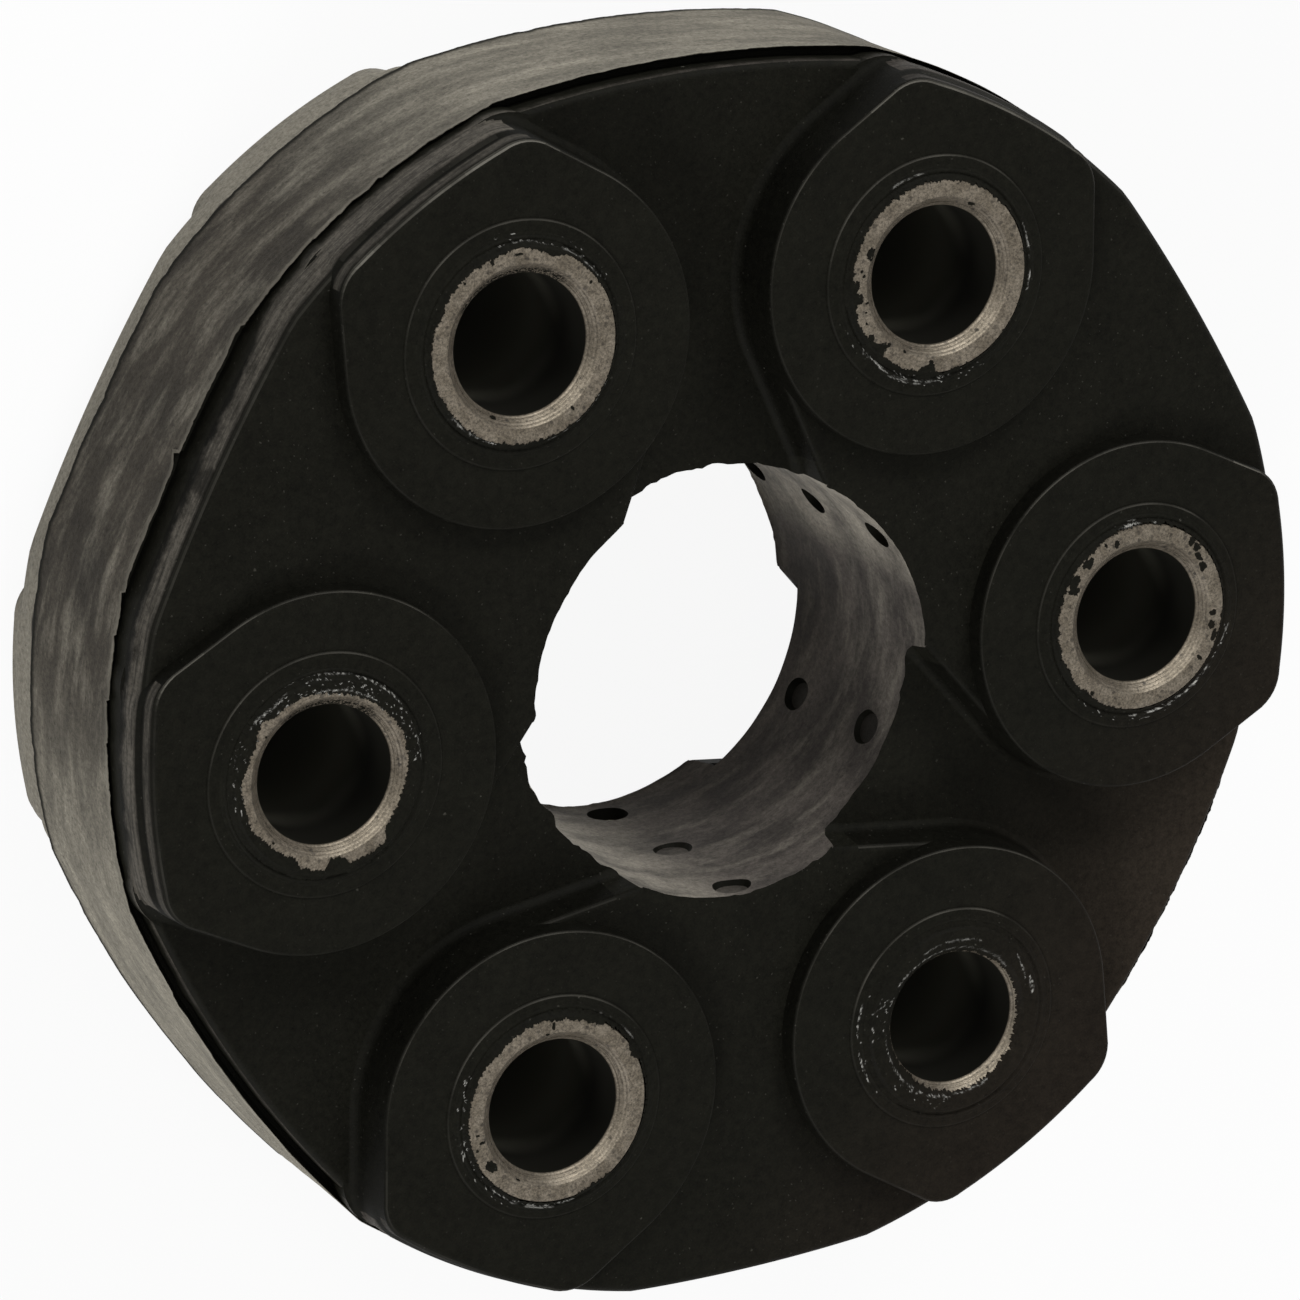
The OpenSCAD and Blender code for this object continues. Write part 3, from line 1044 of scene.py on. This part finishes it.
def scatter(tree, groups, position, amount, density, size):
    """Mask of specks; amount, density and size are those of the dust group."""
    given = {"Position": position, "Amount": amount, "Density": density, "Size": size}
    return use_group(tree, groups["dust"], given)["Specks"]


def grain_group():
    """Fine grain of moulded rubber: a height, and slow blotches."""
    outputs = [("Height", "NodeSocketFloat"), ("Blotches", "NodeSocketFloat")]
    tree, given, result = new_group("Rubber grain", [("Position", "NodeSocketVector")], outputs)
    place = given["Position"]
    fine = cloud(tree, place, 5.5, 3.0, 0.6)
    medium = cloud(tree, place, 1.6, 3.0, 0.5)
    height = plus(tree, times(tree, fine, 0.55), times(tree, medium, 0.45))
    link(tree, result, Height=height, Blotches=cloud(tree, place, 0.22, 4.0, 0.6))
    return tree


def dust_group():
    """Sparse specks of dust: Amount is the share of cells that hold one, Size the largest radius."""
    labels = ("Amount", "Density", "Size")
    inputs = [("Position", "NodeSocketVector")] + [(label, "NodeSocketFloat") for label in labels]
    tree, given, result = new_group("Dust", inputs, [("Specks", "NodeSocketFloat")])
    place = given["Position"]
    bend = add_node(tree, "ShaderNodeTexNoise", {"Vector": place, "Scale": 6.0, "Detail": 1.0})
    shift = scaled(tree, bend.outputs["Color"], 0.25)
    bent = vector_calc(tree, "ADD", {0: place, 1: shift})
    cells = add_node(
        tree, "ShaderNodeTexVoronoi", {"Vector": bent, "Scale": given["Density"]}, feature="F1"
    )
    pick = add_node(tree, "ShaderNodeSeparateColor", {"Color": cells.outputs["Color"]})
    chosen = calc(tree, "LESS_THAN", pick.outputs["Red"], given["Amount"])
    largest = times(tree, given["Size"], given["Density"])
    size = times(tree, largest, span(tree, pick.outputs["Green"], 0.35, 1.0))
    inner = times(tree, size, 0.4)
    speck = fade(tree, cells.outputs["Distance"], size, inner)
    faint = span(tree, pick.outputs["Blue"], 0.2, 1.0)
    mask = times(tree, times(tree, speck, chosen), faint)
    link(tree, result, Specks=mask)
    return tree


def smear_group():
    """Marks of cut and scuffed rubber: long faint streaks, soft stains, fine mottling and pits."""
    outputs = [(label, "NodeSocketFloat") for label in ("Streaks", "Stains", "Mottling", "Pits")]
    tree, given, result = new_group("Smears", [("Position", "NodeSocketVector")], outputs)
    place = given["Position"]
    turning = {"Vector": place, "Axis": (-0.55, 0.83, 0.0), "Angle": 0.16}
    turned = add_node(tree, "ShaderNodeVectorRotate", turning, rotation_type="AXIS_ANGLE").outputs[0]
    streaks = cloud(tree, stretch(tree, turned, (0.3, 0.3, 1.0)), 0.45, 5.0, 0.62)
    stains = cloud(tree, stretch(tree, place, (0.6, 0.6, 1.0)), 0.16, 4.0, 0.6)
    mottling = cloud(tree, place, 2.2, 4.0, 0.85)
    cells = add_node(tree, "ShaderNodeTexVoronoi", {"Vector": place, "Scale": 0.9}, feature="F1")
    pits = fade(tree, cells.outputs["Distance"], 0.16, 0.06)
    link(tree, result, Streaks=streaks, Stains=stains, Mottling=mottling, Pits=pits)
    return tree


def sleeve_group():
    """Distance from the nearest sleeve's axis, in mm."""
    tree, given, result = new_group(
        "Sleeve distance", [("Position", "NodeSocketVector")], [("Radius", "NodeSocketFloat")]
    )
    parts = axes(tree, given["Position"])
    angle = calc(tree, "ARCTAN2", parts["Y"], parts["X"])
    sector = calc(tree, "ROUND", calc(tree, "DIVIDE", angle, PITCH))
    turn = times(tree, sector, -PITCH)
    turning = {"Vector": given["Position"], "Angle": turn}
    turned = add_node(tree, "ShaderNodeVectorRotate", turning, rotation_type="Z_AXIS").outputs[0]
    flat = stretch(tree, turned, (1.0, 1.0, 0.0))
    moved = vector_calc(tree, "SUBTRACT", {0: flat, 1: (BOLT_R / MM, 0.0, 0.0)})
    link(tree, result, Radius=vector_calc(tree, "LENGTH", {0: moved}, "Value"))
    return tree


def start_material(name):
    """A material with its shader, and its position in mm."""
    material = bpy.data.materials.new(name)
    material.use_nodes = True
    tree = material.node_tree
    shader = tree.nodes["Principled BSDF"]
    place = tree.nodes.new("ShaderNodeTexCoord").outputs["Object"]
    return material, tree, shader, scaled(tree, place, 1 / MM)


def set_bump(tree, shader, height, depth):
    """Bump whose height of 1 stands for a depth in metres."""
    bump = add_node(tree, "ShaderNodeBump", {"Height": height, "Strength": 1.0, "Distance": depth})
    link(tree, shader.inputs, Normal=bump.outputs["Normal"])


def rubber_material(looks, groups):
    """Black rubber faces with painted highlights, light and shade, a dusty shoulder with painted shadow
    by the band, and a bore of cut grey rubber with painted light places and dark pin marks.
    """
    material, tree, shader, position = start_material("Moulded rubber")
    grain = use_group(tree, groups["grain"], {"Position": position})
    smears = use_group(tree, groups["smears"], {"Position": position})
    specks = scatter(tree, groups, position, 0.75, 1.8, 0.11)
    flakes = scatter(tree, groups, position, 0.11, 0.6, 0.2)
    parts = axes(tree, position)
    out = vector_calc(tree, "LENGTH", {0: stretch(tree, position, (1.0, 1.0, 0.0))}, "Value")
    height = calc(tree, "ABSOLUTE", minus(tree, parts["Z"], MIDDLE_Z / MM))

    # Faces: blotched, browner and lighter towards the right, with specks and flakes, painted light on the
    # low surfaces at the right, painted shade on the steep walls and painted highlights on rounded edges
    right = times(tree, parts["X"], 0.75)
    right = minus(tree, right, times(tree, parts["Y"], 0.65))
    face = blend(tree, fade(tree, right, 26.0, 56.0), looks.face, looks.warm)
    tone = plus(tree, span(tree, grain["Blotches"], 0.2, 0.8), span(tree, grain["Height"], -0.7, 1.7))
    # Painted light lifts the low surfaces towards the right
    painted_low_light = times(tree, fade(tree, height, 10.9, 10.5), fade(tree, right, 15.0, 38.0))
    face = scaled(tree, face, times(tree, tone, span(tree, painted_low_light, 1.0, 1.75)))
    # Painted shade on the steep walls between the low surfaces and the pads
    face = scaled(tree, face, span(tree, attribute(tree, "wall"), 1.0, 0.55))
    face = blend(tree, times(tree, specks, 0.45), face, looks.dust)
    face = blend(tree, times(tree, flakes, 0.9), face, looks.dust)
    # Painted highlight along the rounded edges
    face = blend(tree, attribute(tree, "rubbed"), face, looks.rubbed)

    # Bore: stained, with light streaks, and painted light near the top and the back left, broken up by
    # the stains
    bare = blend(tree, fade(tree, smears["Stains"], 0.34, 0.64), looks.bore_dark, looks.bore)
    pale = times(tree, fade(tree, smears["Streaks"], 0.44, 0.72), 0.3)
    # Painted light on the bore near the top and the back left
    top = times(tree, fade(tree, parts["Y"], 3.8, 9.0), 0.9)
    ends = larger(tree, top, fade(tree, parts["X"], 2.5, -8.0))
    pale = larger(tree, pale, times(tree, ends, fade(tree, smears["Stains"], 0.2, 0.6)))
    bare = blend(tree, pale, bare, looks.bore_smears_and_light)
    bare = scaled(tree, bare, span(tree, smears["Mottling"], -0.1, 2.1))
    inside = times(tree, attribute(tree, "bore"), fade(tree, out, 20.8, 20.5))
    color = blend(tree, inside, face, bare)

    # Shoulder: dusty from the band up to below the rounded edge and on the ledge above it, with painted
    # shadow just above the band's lip that reaches higher over one stretch in front and in a narrow strip
    # under the deepest notch
    front = fade(tree, parts["Z"], 16.0, 17.0)
    turn = calc(tree, "ARCTAN2", parts["Y"], times(tree, parts["X"], -1.0))
    uneven = minus(tree, cloud(tree, position, 0.45, 5.0, 0.7), 0.5)
    # Over this stretch in front the painted shadow above the band reaches higher
    torn = times(tree, fade(tree, turn, -0.16, -0.06), fade(tree, turn, 0.78, 0.68))
    limit = plus(tree, span(tree, torn, 9.3, 10.9), times(tree, uneven, span(tree, torn, 2.0, 3.5)))
    above = minus(tree, height, limit)
    # A narrow strip of painted shade under the deepest notch of the band
    under_deep_notch = calc(tree, "ABSOLUTE", minus(tree, turn, 0.503))
    under_deep_notch = fade(tree, plus(tree, under_deep_notch, times(tree, uneven, 0.08)), 0.012, 0.03)
    above = times(tree, fade(tree, above, -0.4, 1.2), span(tree, under_deep_notch, 0.3, 1.0))
    # Painted shadow just above the band's lip
    clear_of_band_shadow = blend(tree, front, fade(tree, height, 9.2, 9.6), above)
    ledge = times(tree, fade(tree, height, 13.9, 14.3), 0.6)
    ledge = times(tree, ledge, fade(tree, height, 15.4, 14.9))
    lit = times(tree, clear_of_band_shadow, larger(tree, ledge, fade(tree, height, 13.4, 12.9)))
    rubbed_along = cloud(tree, stretch(tree, position, (0.22, 0.22, 2.4)), 1.0, 4.0, 0.65)
    dust_and_shadow = times(tree, lit, span(tree, smears["Mottling"], -0.3, 1.9))
    dust_and_shadow = times(tree, dust_and_shadow, span(tree, rubbed_along, -0.7, 2.3))
    shoulder = times(tree, attribute(tree, "shoulder"), dust_and_shadow)
    scuffed = fade(tree, minus(tree, parts["Y"], parts["X"]), 56.0, 70.0)
    scuffed = larger(tree, scuffed, fade(tree, parts["X"], -50.0, -54.0))
    grey = times(tree, scuffed, 0.23)
    color = blend(tree, shoulder, color, blend(tree, grey, looks.shoulder, looks.band_light))
    behind = times(tree, span(tree, front, 0.8, 0.0), fade(tree, out, 50.5, 51.5))
    behind = times(tree, behind, times(tree, scuffed, fade(tree, height, 9.3, 9.7)))
    pale_back = scaled(tree, looks.band_light, span(tree, smears["Mottling"], -0.1, 2.0))
    color = blend(tree, behind, color, pale_back)

    # Pin marks are black, and torn edges of the skins catch the light
    recess = attribute(tree, "recess")
    color = blend(tree, times(tree, recess, 0.96), color, looks.face)
    glint = attribute(tree, "glint")
    color = blend(tree, glint, color, looks.glint)

    link(tree, shader.inputs, Base_Color=color)
    rough = minus(tree, span(tree, grain["Height"], 0.45, 0.7), times(tree, glint, 0.2))
    link(tree, shader.inputs, Roughness=rough)
    shader.inputs["Specular IOR Level"].default_value = 0.035
    set_bump(tree, shader, grain["Height"], 0.05 * MM)
    return material


def band_material(looks, groups):
    """Scuffed grey rubber, streaked along the rim, dark on the hidden side of the band, with a painted
    shade line along its back lip.
    """
    material, tree, shader, position = start_material("Rim band rubber")
    grain = use_group(tree, groups["grain"], {"Position": position})
    smears = use_group(tree, groups["smears"], {"Position": position})
    specks = scatter(tree, groups, position, 0.2, 0.8, 0.12)
    parts = axes(tree, position)
    left = plus(tree, parts["X"], times(tree, parts["Y"], 0.9))
    scuffed = larger(tree, fade(tree, left, -46.0, -69.0), fade(tree, parts["Y"], 42.0, 60.0))
    base = blend(tree, fade(tree, smears["Stains"], 0.3, 0.66), looks.band_dark, looks.band)
    pale = times(tree, fade(tree, smears["Streaks"], 0.44, 0.72), 0.3)
    base = blend(tree, pale, base, looks.band_light)
    base = blend(tree, times(tree, scuffed, 0.9), base, looks.band_light)
    base = scaled(tree, base, span(tree, smears["Mottling"], -0.1, 2.1))
    base = scaled(tree, base, span(tree, smears["Streaks"], 0.2, 1.8))
    base = blend(tree, times(tree, smears["Pits"], 0.3), base, looks.band_dark)
    base = blend(tree, times(tree, specks, 0.7), base, looks.band_light)
    # Off the outer wall the band takes the black of the faces: the black rubber, and painted shade on the
    # ledge and along the back lip
    color = blend(tree, attribute(tree, "outer"), looks.face, base)
    color = blend(tree, times(tree, attribute(tree, "lip"), 0.35), color, looks.band_light)
    link(tree, shader.inputs, Base_Color=color)
    link(tree, shader.inputs, Roughness=span(tree, smears["Streaks"], 0.62, 0.86))
    shader.inputs["Specular IOR Level"].default_value = 0.06
    height = plus(tree, grain["Height"], times(tree, smears["Mottling"], 1.2))
    height = minus(tree, height, smears["Pits"])
    height = plus(tree, height, times(tree, smears["Streaks"], 2.5))
    set_bump(tree, shader, height, 0.07 * MM)
    return material


def sleeve_material(looks, groups):
    """Dull turned steel with specks, a painted highlight on the lit side of each chamfer with painted
    shade on the rest of it, and a bore in painted shade.
    """
    material, tree, shader, position = start_material("Turned sleeve steel")
    radius = sleeve_radius(tree, groups, position)
    parts = axes(tree, position)
    height = calc(tree, "ABSOLUTE", minus(tree, parts["Z"], MIDDLE_Z / MM))
    specks = scatter(tree, groups, position, 0.85, 1.5, 0.3)
    blotches = cloud(tree, position, 0.9, 5.0, 0.6)
    fine = cloud(tree, position, 5.0, 3.0, 0.8)
    turned = calc(tree, "SINE", times(tree, radius, 26.0))
    on_cut = fade(tree, radius, 7.05, 6.9)
    lit = times(tree, on_cut, attribute(tree, "lit"))
    lines = times(tree, turned, span(tree, on_cut, 0.1, 1.0))
    color = blend(tree, fade(tree, blotches, 0.35, 0.65), looks.steel_dark, looks.steel)
    # Painted shade on the chamfer away from the lit side, and a painted highlight on the lit side
    color = scaled(tree, color, span(tree, minus(tree, on_cut, lit), 1.0, 0.78))
    color = blend(tree, times(tree, lit, 0.6), color, looks.chamfer_highlight)
    color = scaled(tree, color, span(tree, fine, -0.6, 2.6))
    lined = times(tree, fade(tree, lines, 0.1, 0.9), span(tree, lit, 0.25, 0.45))
    color = blend(tree, lined, color, looks.steel_dark)
    color = blend(tree, times(tree, specks, 0.85), color, looks.fleck)
    # The bore and the listed arcs of two chamfers turn dark; the bore's colour is painted shade, made
    # lighter further in
    bore = times(tree, fade(tree, radius, 6.12, 6.07), fade(tree, height, 15.6, 15.4))
    torn = times(tree, attribute(tree, "black"), fade(tree, fine, 0.56, 0.5))
    dark = larger(tree, bore, torn)
    lighter_further_in = span(tree, fade(tree, height, 11.5, 4.0), 0.9, 18.0)
    color = blend(tree, dark, color, scaled(tree, looks.sleeve_bore_shade, lighter_further_in))
    link(tree, shader.inputs, Base_Color=color)
    metal = span(tree, larger(tree, dark, specks), 0.4, 0.0)
    link(tree, shader.inputs, Metallic=metal)
    rough = minus(tree, span(tree, fine, 0.4, 0.62), times(tree, lit, 0.14))
    rough = larger(tree, rough, times(tree, dark, 0.8))
    link(tree, shader.inputs, Roughness=rough, Specular_IOR_Level=span(tree, dark, 0.2, 0.025))
    relief = plus(tree, times(tree, lines, 0.5), times(tree, fine, 0.8))
    set_bump(tree, shader, relief, 0.02 * MM)
    return material


def collar_material(looks, groups):
    """Pressed steel with faint turned lines, which lies inside the rubber."""
    material, tree, shader, position = start_material("Pressed collar steel")
    radius = sleeve_radius(tree, groups, position)
    fine = cloud(tree, position, 4.0)
    lines = calc(tree, "SINE", times(tree, radius, 24.0))
    color = blend(tree, fade(tree, fine, 0.35, 0.65), looks.steel_dark, looks.steel)
    link(tree, shader.inputs, Base_Color=color)
    link(tree, shader.inputs, Roughness=span(tree, fine, 0.35, 0.55))
    shader.inputs["Metallic"].default_value = 1.0
    set_bump(tree, shader, plus(tree, lines, fine), 0.015 * MM)
    return material


def cord_material(looks, groups):
    """Yarn wound in turns that lie side by side along the axis, which lies inside the rubber."""
    material, tree, shader, position = start_material("Wound cord")
    parts = axes(tree, position)
    turns = calc(tree, "SINE", times(tree, parts["Z"], math.tau / 0.9))
    fibre = cloud(tree, stretch(tree, position, (1.0, 1.0, 3.0)), 2.4, 4.0, 0.65)
    radius = sleeve_radius(tree, groups, position)
    layers = calc(tree, "SINE", times(tree, radius, math.tau / 0.9))
    groove = fade(tree, larger(tree, turns, layers), -0.9, 0.3)
    color = blend(tree, groove, looks.cord_dark, looks.cord)
    color = blend(tree, fade(tree, fibre, 0.55, 0.4), color, looks.cord_dark)
    link(tree, shader.inputs, Base_Color=color)
    link(tree, shader.inputs, Roughness=span(tree, fibre, 0.7, 0.9))
    set_bump(tree, shader, plus(tree, turns, fibre), 0.12 * MM)
    return material


def make_materials(looks):
    """All the materials by name, built once from the shared groups."""
    groups = {
        "grain": grain_group(),
        "dust": dust_group(),
        "smears": smear_group(),
        "sleeve": sleeve_group(),
    }
    return {
        "rubber": rubber_material(looks, groups),
        "band": band_material(looks, groups),
        "sleeve": sleeve_material(looks, groups),
        "collar": collar_material(looks, groups),
        "cord": cord_material(looks, groups),
    }


def band_edge(angle, front):
    """How far the torn edge of the band rises over the parting line, in mm, and its notches."""
    seed = 3.1 if front else 11.7
    rough = 0.16 * ripple(7, angle, seed) + 0.2 * ripple(34, angle, seed)
    rough += 0.12 * ripple(110, angle, seed) + 0.1 * ripple(260, angle, seed)
    tear = max(0.0, ripple(22, angle, seed + 5) - 0.34)
    rise = rough - 1.6 * tear
    if front:
        degrees = math.degrees(angle) % 360
        for first, last, depth in BAND_NOTCHES:
            if first < degrees < last:
                rise -= depth * (last - degrees) / (last - first)
        return rise
    return 0.8 * rise


def build_band(sizes):
    """A ring that stands out between the parting lines, with a torn lip along each of them."""
    half = MIDDLE_Z - sizes.band_drop
    lip = 0.6 * MM
    wall = [
        (0.06, 0.0), (0.08, 0.12), (0.05, 0.35), (0.0, 0.8), (0.0, 1.6), (-0.02, 3.0),
        (-0.02, 5.4), (-0.03, 8.0),
    ]
    rows = [(out * MM, half - below * MM) for out, below in wall]
    hidden = [(-4.0, -1.6), (-0.6, -1.3), (-0.26, -0.7), (-0.12, -0.2), (-0.06, -0.02)]
    inner = [(out * MM, half + above * MM) for out, above in hidden]
    ring = rows + [(0.0, 0.0)] + [(out, -z) for out, z in reversed(rows)]
    ring += [(out, -z) for out, z in reversed(inner)] + inner
    band = lathe("rim_band", [(BOLT_R + out, MIDDLE_Z + z) for out, z in ring], RAGGED_STEPS)
    outer = []
    edge = []
    for vert in band.data.vertices:
        angle = math.atan2(vert.co.y, vert.co.x)
        out = vert.co.to_2d().length - BOLT_R
        lift = vert.co.z - MIDDLE_Z
        front = lift > 0
        near = ease(abs(lift), half - 2.2 * MM, half - 0.1 * MM)
        rise = band_edge(angle, front) * near * MM
        radius = outline_radius(sizes, angle, sizes.band_out_pad, sizes.band_out_edge)
        uneven = 0.0
        if out > -0.05 * MM:
            uneven = 0.05 * ripple(16, angle, vert.co.z / MM * 0.35)
            uneven += 0.05 * ripple(5, angle, vert.co.z / MM * 0.15) - 0.06
        # The back lip is painted nearly as black as the faces: a painted shade line
        back_shade_line = not front and out > 0.045 * MM
        outer.append(0.04 if back_shade_line else 1.0 if out > -0.045 * MM else 0.0)
        edge.append(ease(out, 0.03 * MM, 0.06 * MM) if front else 0.0)
        place = polar(radius + out + uneven * MM, angle)
        place.x = min(max(place.x, BODY_LOW.x), BODY_HIGH.x)
        place.y = min(max(place.y, BODY_LOW.y), BODY_HIGH.y)
        place.z = vert.co.z + (rise if front else -rise)
        vert.co = place
    keep(band, "POINT", outer=outer, lip=edge)
    finish_smooth(band, 40)
    return band


class FLEXDISC_OT_moulding(Operator):
    """Models the moulded rubber: core, high surfaces, webs, pads, bore and sleeve holes"""

    bl_idname = "flexdisc.moulding"
    bl_label = "Rubber moulding"

    def execute(self, context):
        sizes = context.scene.flexdisc_sizes
        body = build_core(sizes)
        for build in (build_high_surfaces, build_pads, build_surrounds):
            front = build(sizes)
            back = copy_piece(front, front.name + "_back", to_back())
            combine(body, "UNION", front)
            combine(body, "UNION", back)
        combine(body, "DIFFERENCE", build_bore_tool(sizes))
        combine(body, "DIFFERENCE", build_mark_tools(sizes))
        combine(body, "DIFFERENCE", build_sleeve_tools())
        tear_bore_edges(body, sizes)
        paint_faces(body, sizes)
        paint_edges(body)
        finish_smooth(body, 32)
        own(body, "rubber", "rubber_body")
        return {"FINISHED"}


class FLEXDISC_OT_rim_band(Operator):
    """Models the scuffed band round the rim, with its torn edges at the parting lines"""

    bl_idname = "flexdisc.rim_band"
    bl_label = "Rim band"

    def execute(self, context):
        own(build_band(context.scene.flexdisc_sizes), "rubber")
        return {"FINISHED"}


class FLEXDISC_OT_sleeves(Operator):
    """Models the six turned sleeves and the torn rubber skin over their ends"""

    bl_idname = "flexdisc.sleeves"
    bl_label = "Sleeves and skins"

    def execute(self, context):
        for i in range(1, SLEEVE_COUNT + 1):
            own(build_sleeve(i), "sleeve_steel", f"sleeve_{i}")
            own(build_skin(i), "rubber")
        return {"FINISHED"}


class FLEXDISC_OT_materials(Operator):
    """Makes the materials and gives them to the new pieces, the collars and the cord loops"""

    bl_idname = "flexdisc.materials"
    bl_label = "Materials"

    def execute(self, context):
        materials = make_materials(context.scene.flexdisc_looks)
        kinds = {
            "rubber_moulding": "rubber",
            "sleeve_skin": "rubber",
            "rim_band": "band",
            "steel_sleeve": "sleeve",
            "collar": "collar",
            "cord_loop": "cord",
        }
        for piece in context.scene.objects:
            for start, kind in kinds.items():
                if piece.type == "MESH" and piece.name.startswith(start):
                    dress(piece, materials[kind])
        return {"FINISHED"}


class FLEXDISC_OT_stage(Operator):
    """Sets the floor, the light and the camera of the photograph"""

    bl_idname = "flexdisc.stage"
    bl_label = "Stage"

    def execute(self, context):
        scene = context.scene
        scene.view_settings.view_transform = "Standard"
        clear_selection()
        bpy.ops.mesh.primitive_plane_add(size=6, location=(0, 0, -0.0002))
        floor = context.object
        floor.name = "floor"
        floor.data.materials.append(floor_material())
        build_world(scene)
        build_lamps(scene)
        build_camera(scene)
        return {"FINISHED"}


def floor_material():
    """A pale floor that takes a soft shadow and is nearly white to the camera."""
    material = bpy.data.materials.new("Pale floor")
    material.use_nodes = True
    tree = material.node_tree
    nodes = tree.nodes
    nodes.clear()
    output = nodes.new("ShaderNodeOutputMaterial")
    matte = nodes.new("ShaderNodeBsdfDiffuse")
    matte.inputs["Color"].default_value = (0.85, 0.85, 0.85, 1)
    glow = nodes.new("ShaderNodeEmission")
    mix_closures(tree, times(tree, white_rays(tree), 0.92), matte, glow, output)
    return material


def white_rays(tree):
    """1 for the rays that see the background as plain white."""
    rays = tree.nodes.new("ShaderNodeLightPath").outputs
    seen = larger(tree, rays["Is Camera Ray"], rays["Is Glossy Ray"])
    return larger(tree, seen, rays["Is Transmission Ray"])


def mix_closures(tree, share, first, second, output):
    mix = add_node(tree, "ShaderNodeMixShader", {0: share, 1: first.outputs[0], 2: second.outputs[0]})
    link(tree, output.inputs, Surface=mix.outputs[0])


def build_world(scene):
    """A dim studio that the camera sees as plain white."""
    world = bpy.data.worlds.new("Studio")
    scene.world = world
    world.use_nodes = True
    tree = world.node_tree
    nodes = tree.nodes
    nodes.clear()
    output = nodes.new("ShaderNodeOutputWorld")
    dim, white = [
        add_node(tree, "ShaderNodeBackground", {"Color": (1, 1, 1, 1), "Strength": strength})
        for strength in (0.32, 1.0)
    ]
    mix_closures(tree, white_rays(tree), dim, white, output)


def build_lamps(scene):
    """Soft lamps: (name, azimuth and height in degrees, distance and size in metres, power)."""
    for name, azimuth, height, distance, size, power in [
        ("left", 228, 30, 1.2, 0.5, 8.0),
        ("upper", 68, 30, 1.2, 0.5, 8.0),
        ("back", 125, 28, 1.2, 0.25, 2.4),
    ]:
        lamp = bpy.data.lights.new(name, "AREA")
        lamp.shape = "DISK"
        lamp.size = size
        lamp.energy = power
        holder = bpy.data.objects.new(name, lamp)
        scene.collection.objects.link(holder)
        up = math.radians(height)
        middle = Vector((0, 0, MIDDLE_Z))
        place = polar(distance * math.cos(up), math.radians(azimuth), distance * math.sin(up)) + middle
        holder.location = place
        holder.rotation_euler = (middle - place).to_track_quat("-Z", "Y").to_euler()


def build_camera(scene):
    """The camera that was fitted to the rings, bores and pad edges of the photograph."""
    place = Vector((-0.23271, 0.17250, 0.48735))
    right = Vector((0.89149, -0.03523, 0.45167))
    up = Vector((0.17133, 0.94914, -0.26414))
    back = right.cross(up)
    camera = bpy.data.cameras.new("camera")
    camera.lens = 175.5
    camera.sensor_width = 36
    camera.clip_start = 0.01
    holder = bpy.data.objects.new("camera", camera)
    scene.collection.objects.link(holder)
    turn = Matrix((right, up, back)).transposed()
    holder.matrix_world = Matrix.Translation(place) @ turn.to_4x4()
    scene.camera = holder


class FLEXDISC_PT_panel(Panel):
    bl_label = "Flex disc"
    bl_idname = "FLEXDISC_PT_panel"
    bl_space_type = "VIEW_3D"
    bl_region_type = "UI"
    bl_category = "Flex disc"

    def draw(self, context):
        for group in (context.scene.flexdisc_sizes, context.scene.flexdisc_looks):
            for name in group.__annotations__:
                self.layout.prop(group, name)
        for operator in OPERATORS:
            self.layout.operator(operator.bl_idname)


OPERATORS = (
    FLEXDISC_OT_moulding,
    FLEXDISC_OT_rim_band,
    FLEXDISC_OT_sleeves,
    FLEXDISC_OT_materials,
    FLEXDISC_OT_stage,
)
CLASSES = (FlexDiscSizes, FlexDiscLooks, *OPERATORS, FLEXDISC_PT_panel)


def register():
    for item in CLASSES:
        bpy.utils.register_class(item)
    bpy.types.Scene.flexdisc_sizes = PointerProperty(type=FlexDiscSizes)
    bpy.types.Scene.flexdisc_looks = PointerProperty(type=FlexDiscLooks)


def unregister():
    del bpy.types.Scene.flexdisc_looks
    del bpy.types.Scene.flexdisc_sizes
    for item in reversed(CLASSES):
        bpy.utils.unregister_class(item)


def main():
    register()
    bpy.ops.flexdisc.moulding()
    bpy.ops.flexdisc.rim_band()
    bpy.ops.flexdisc.sleeves()
    bpy.ops.flexdisc.materials()
    bpy.ops.flexdisc.stage()


if __name__ == "__main__":
    main()
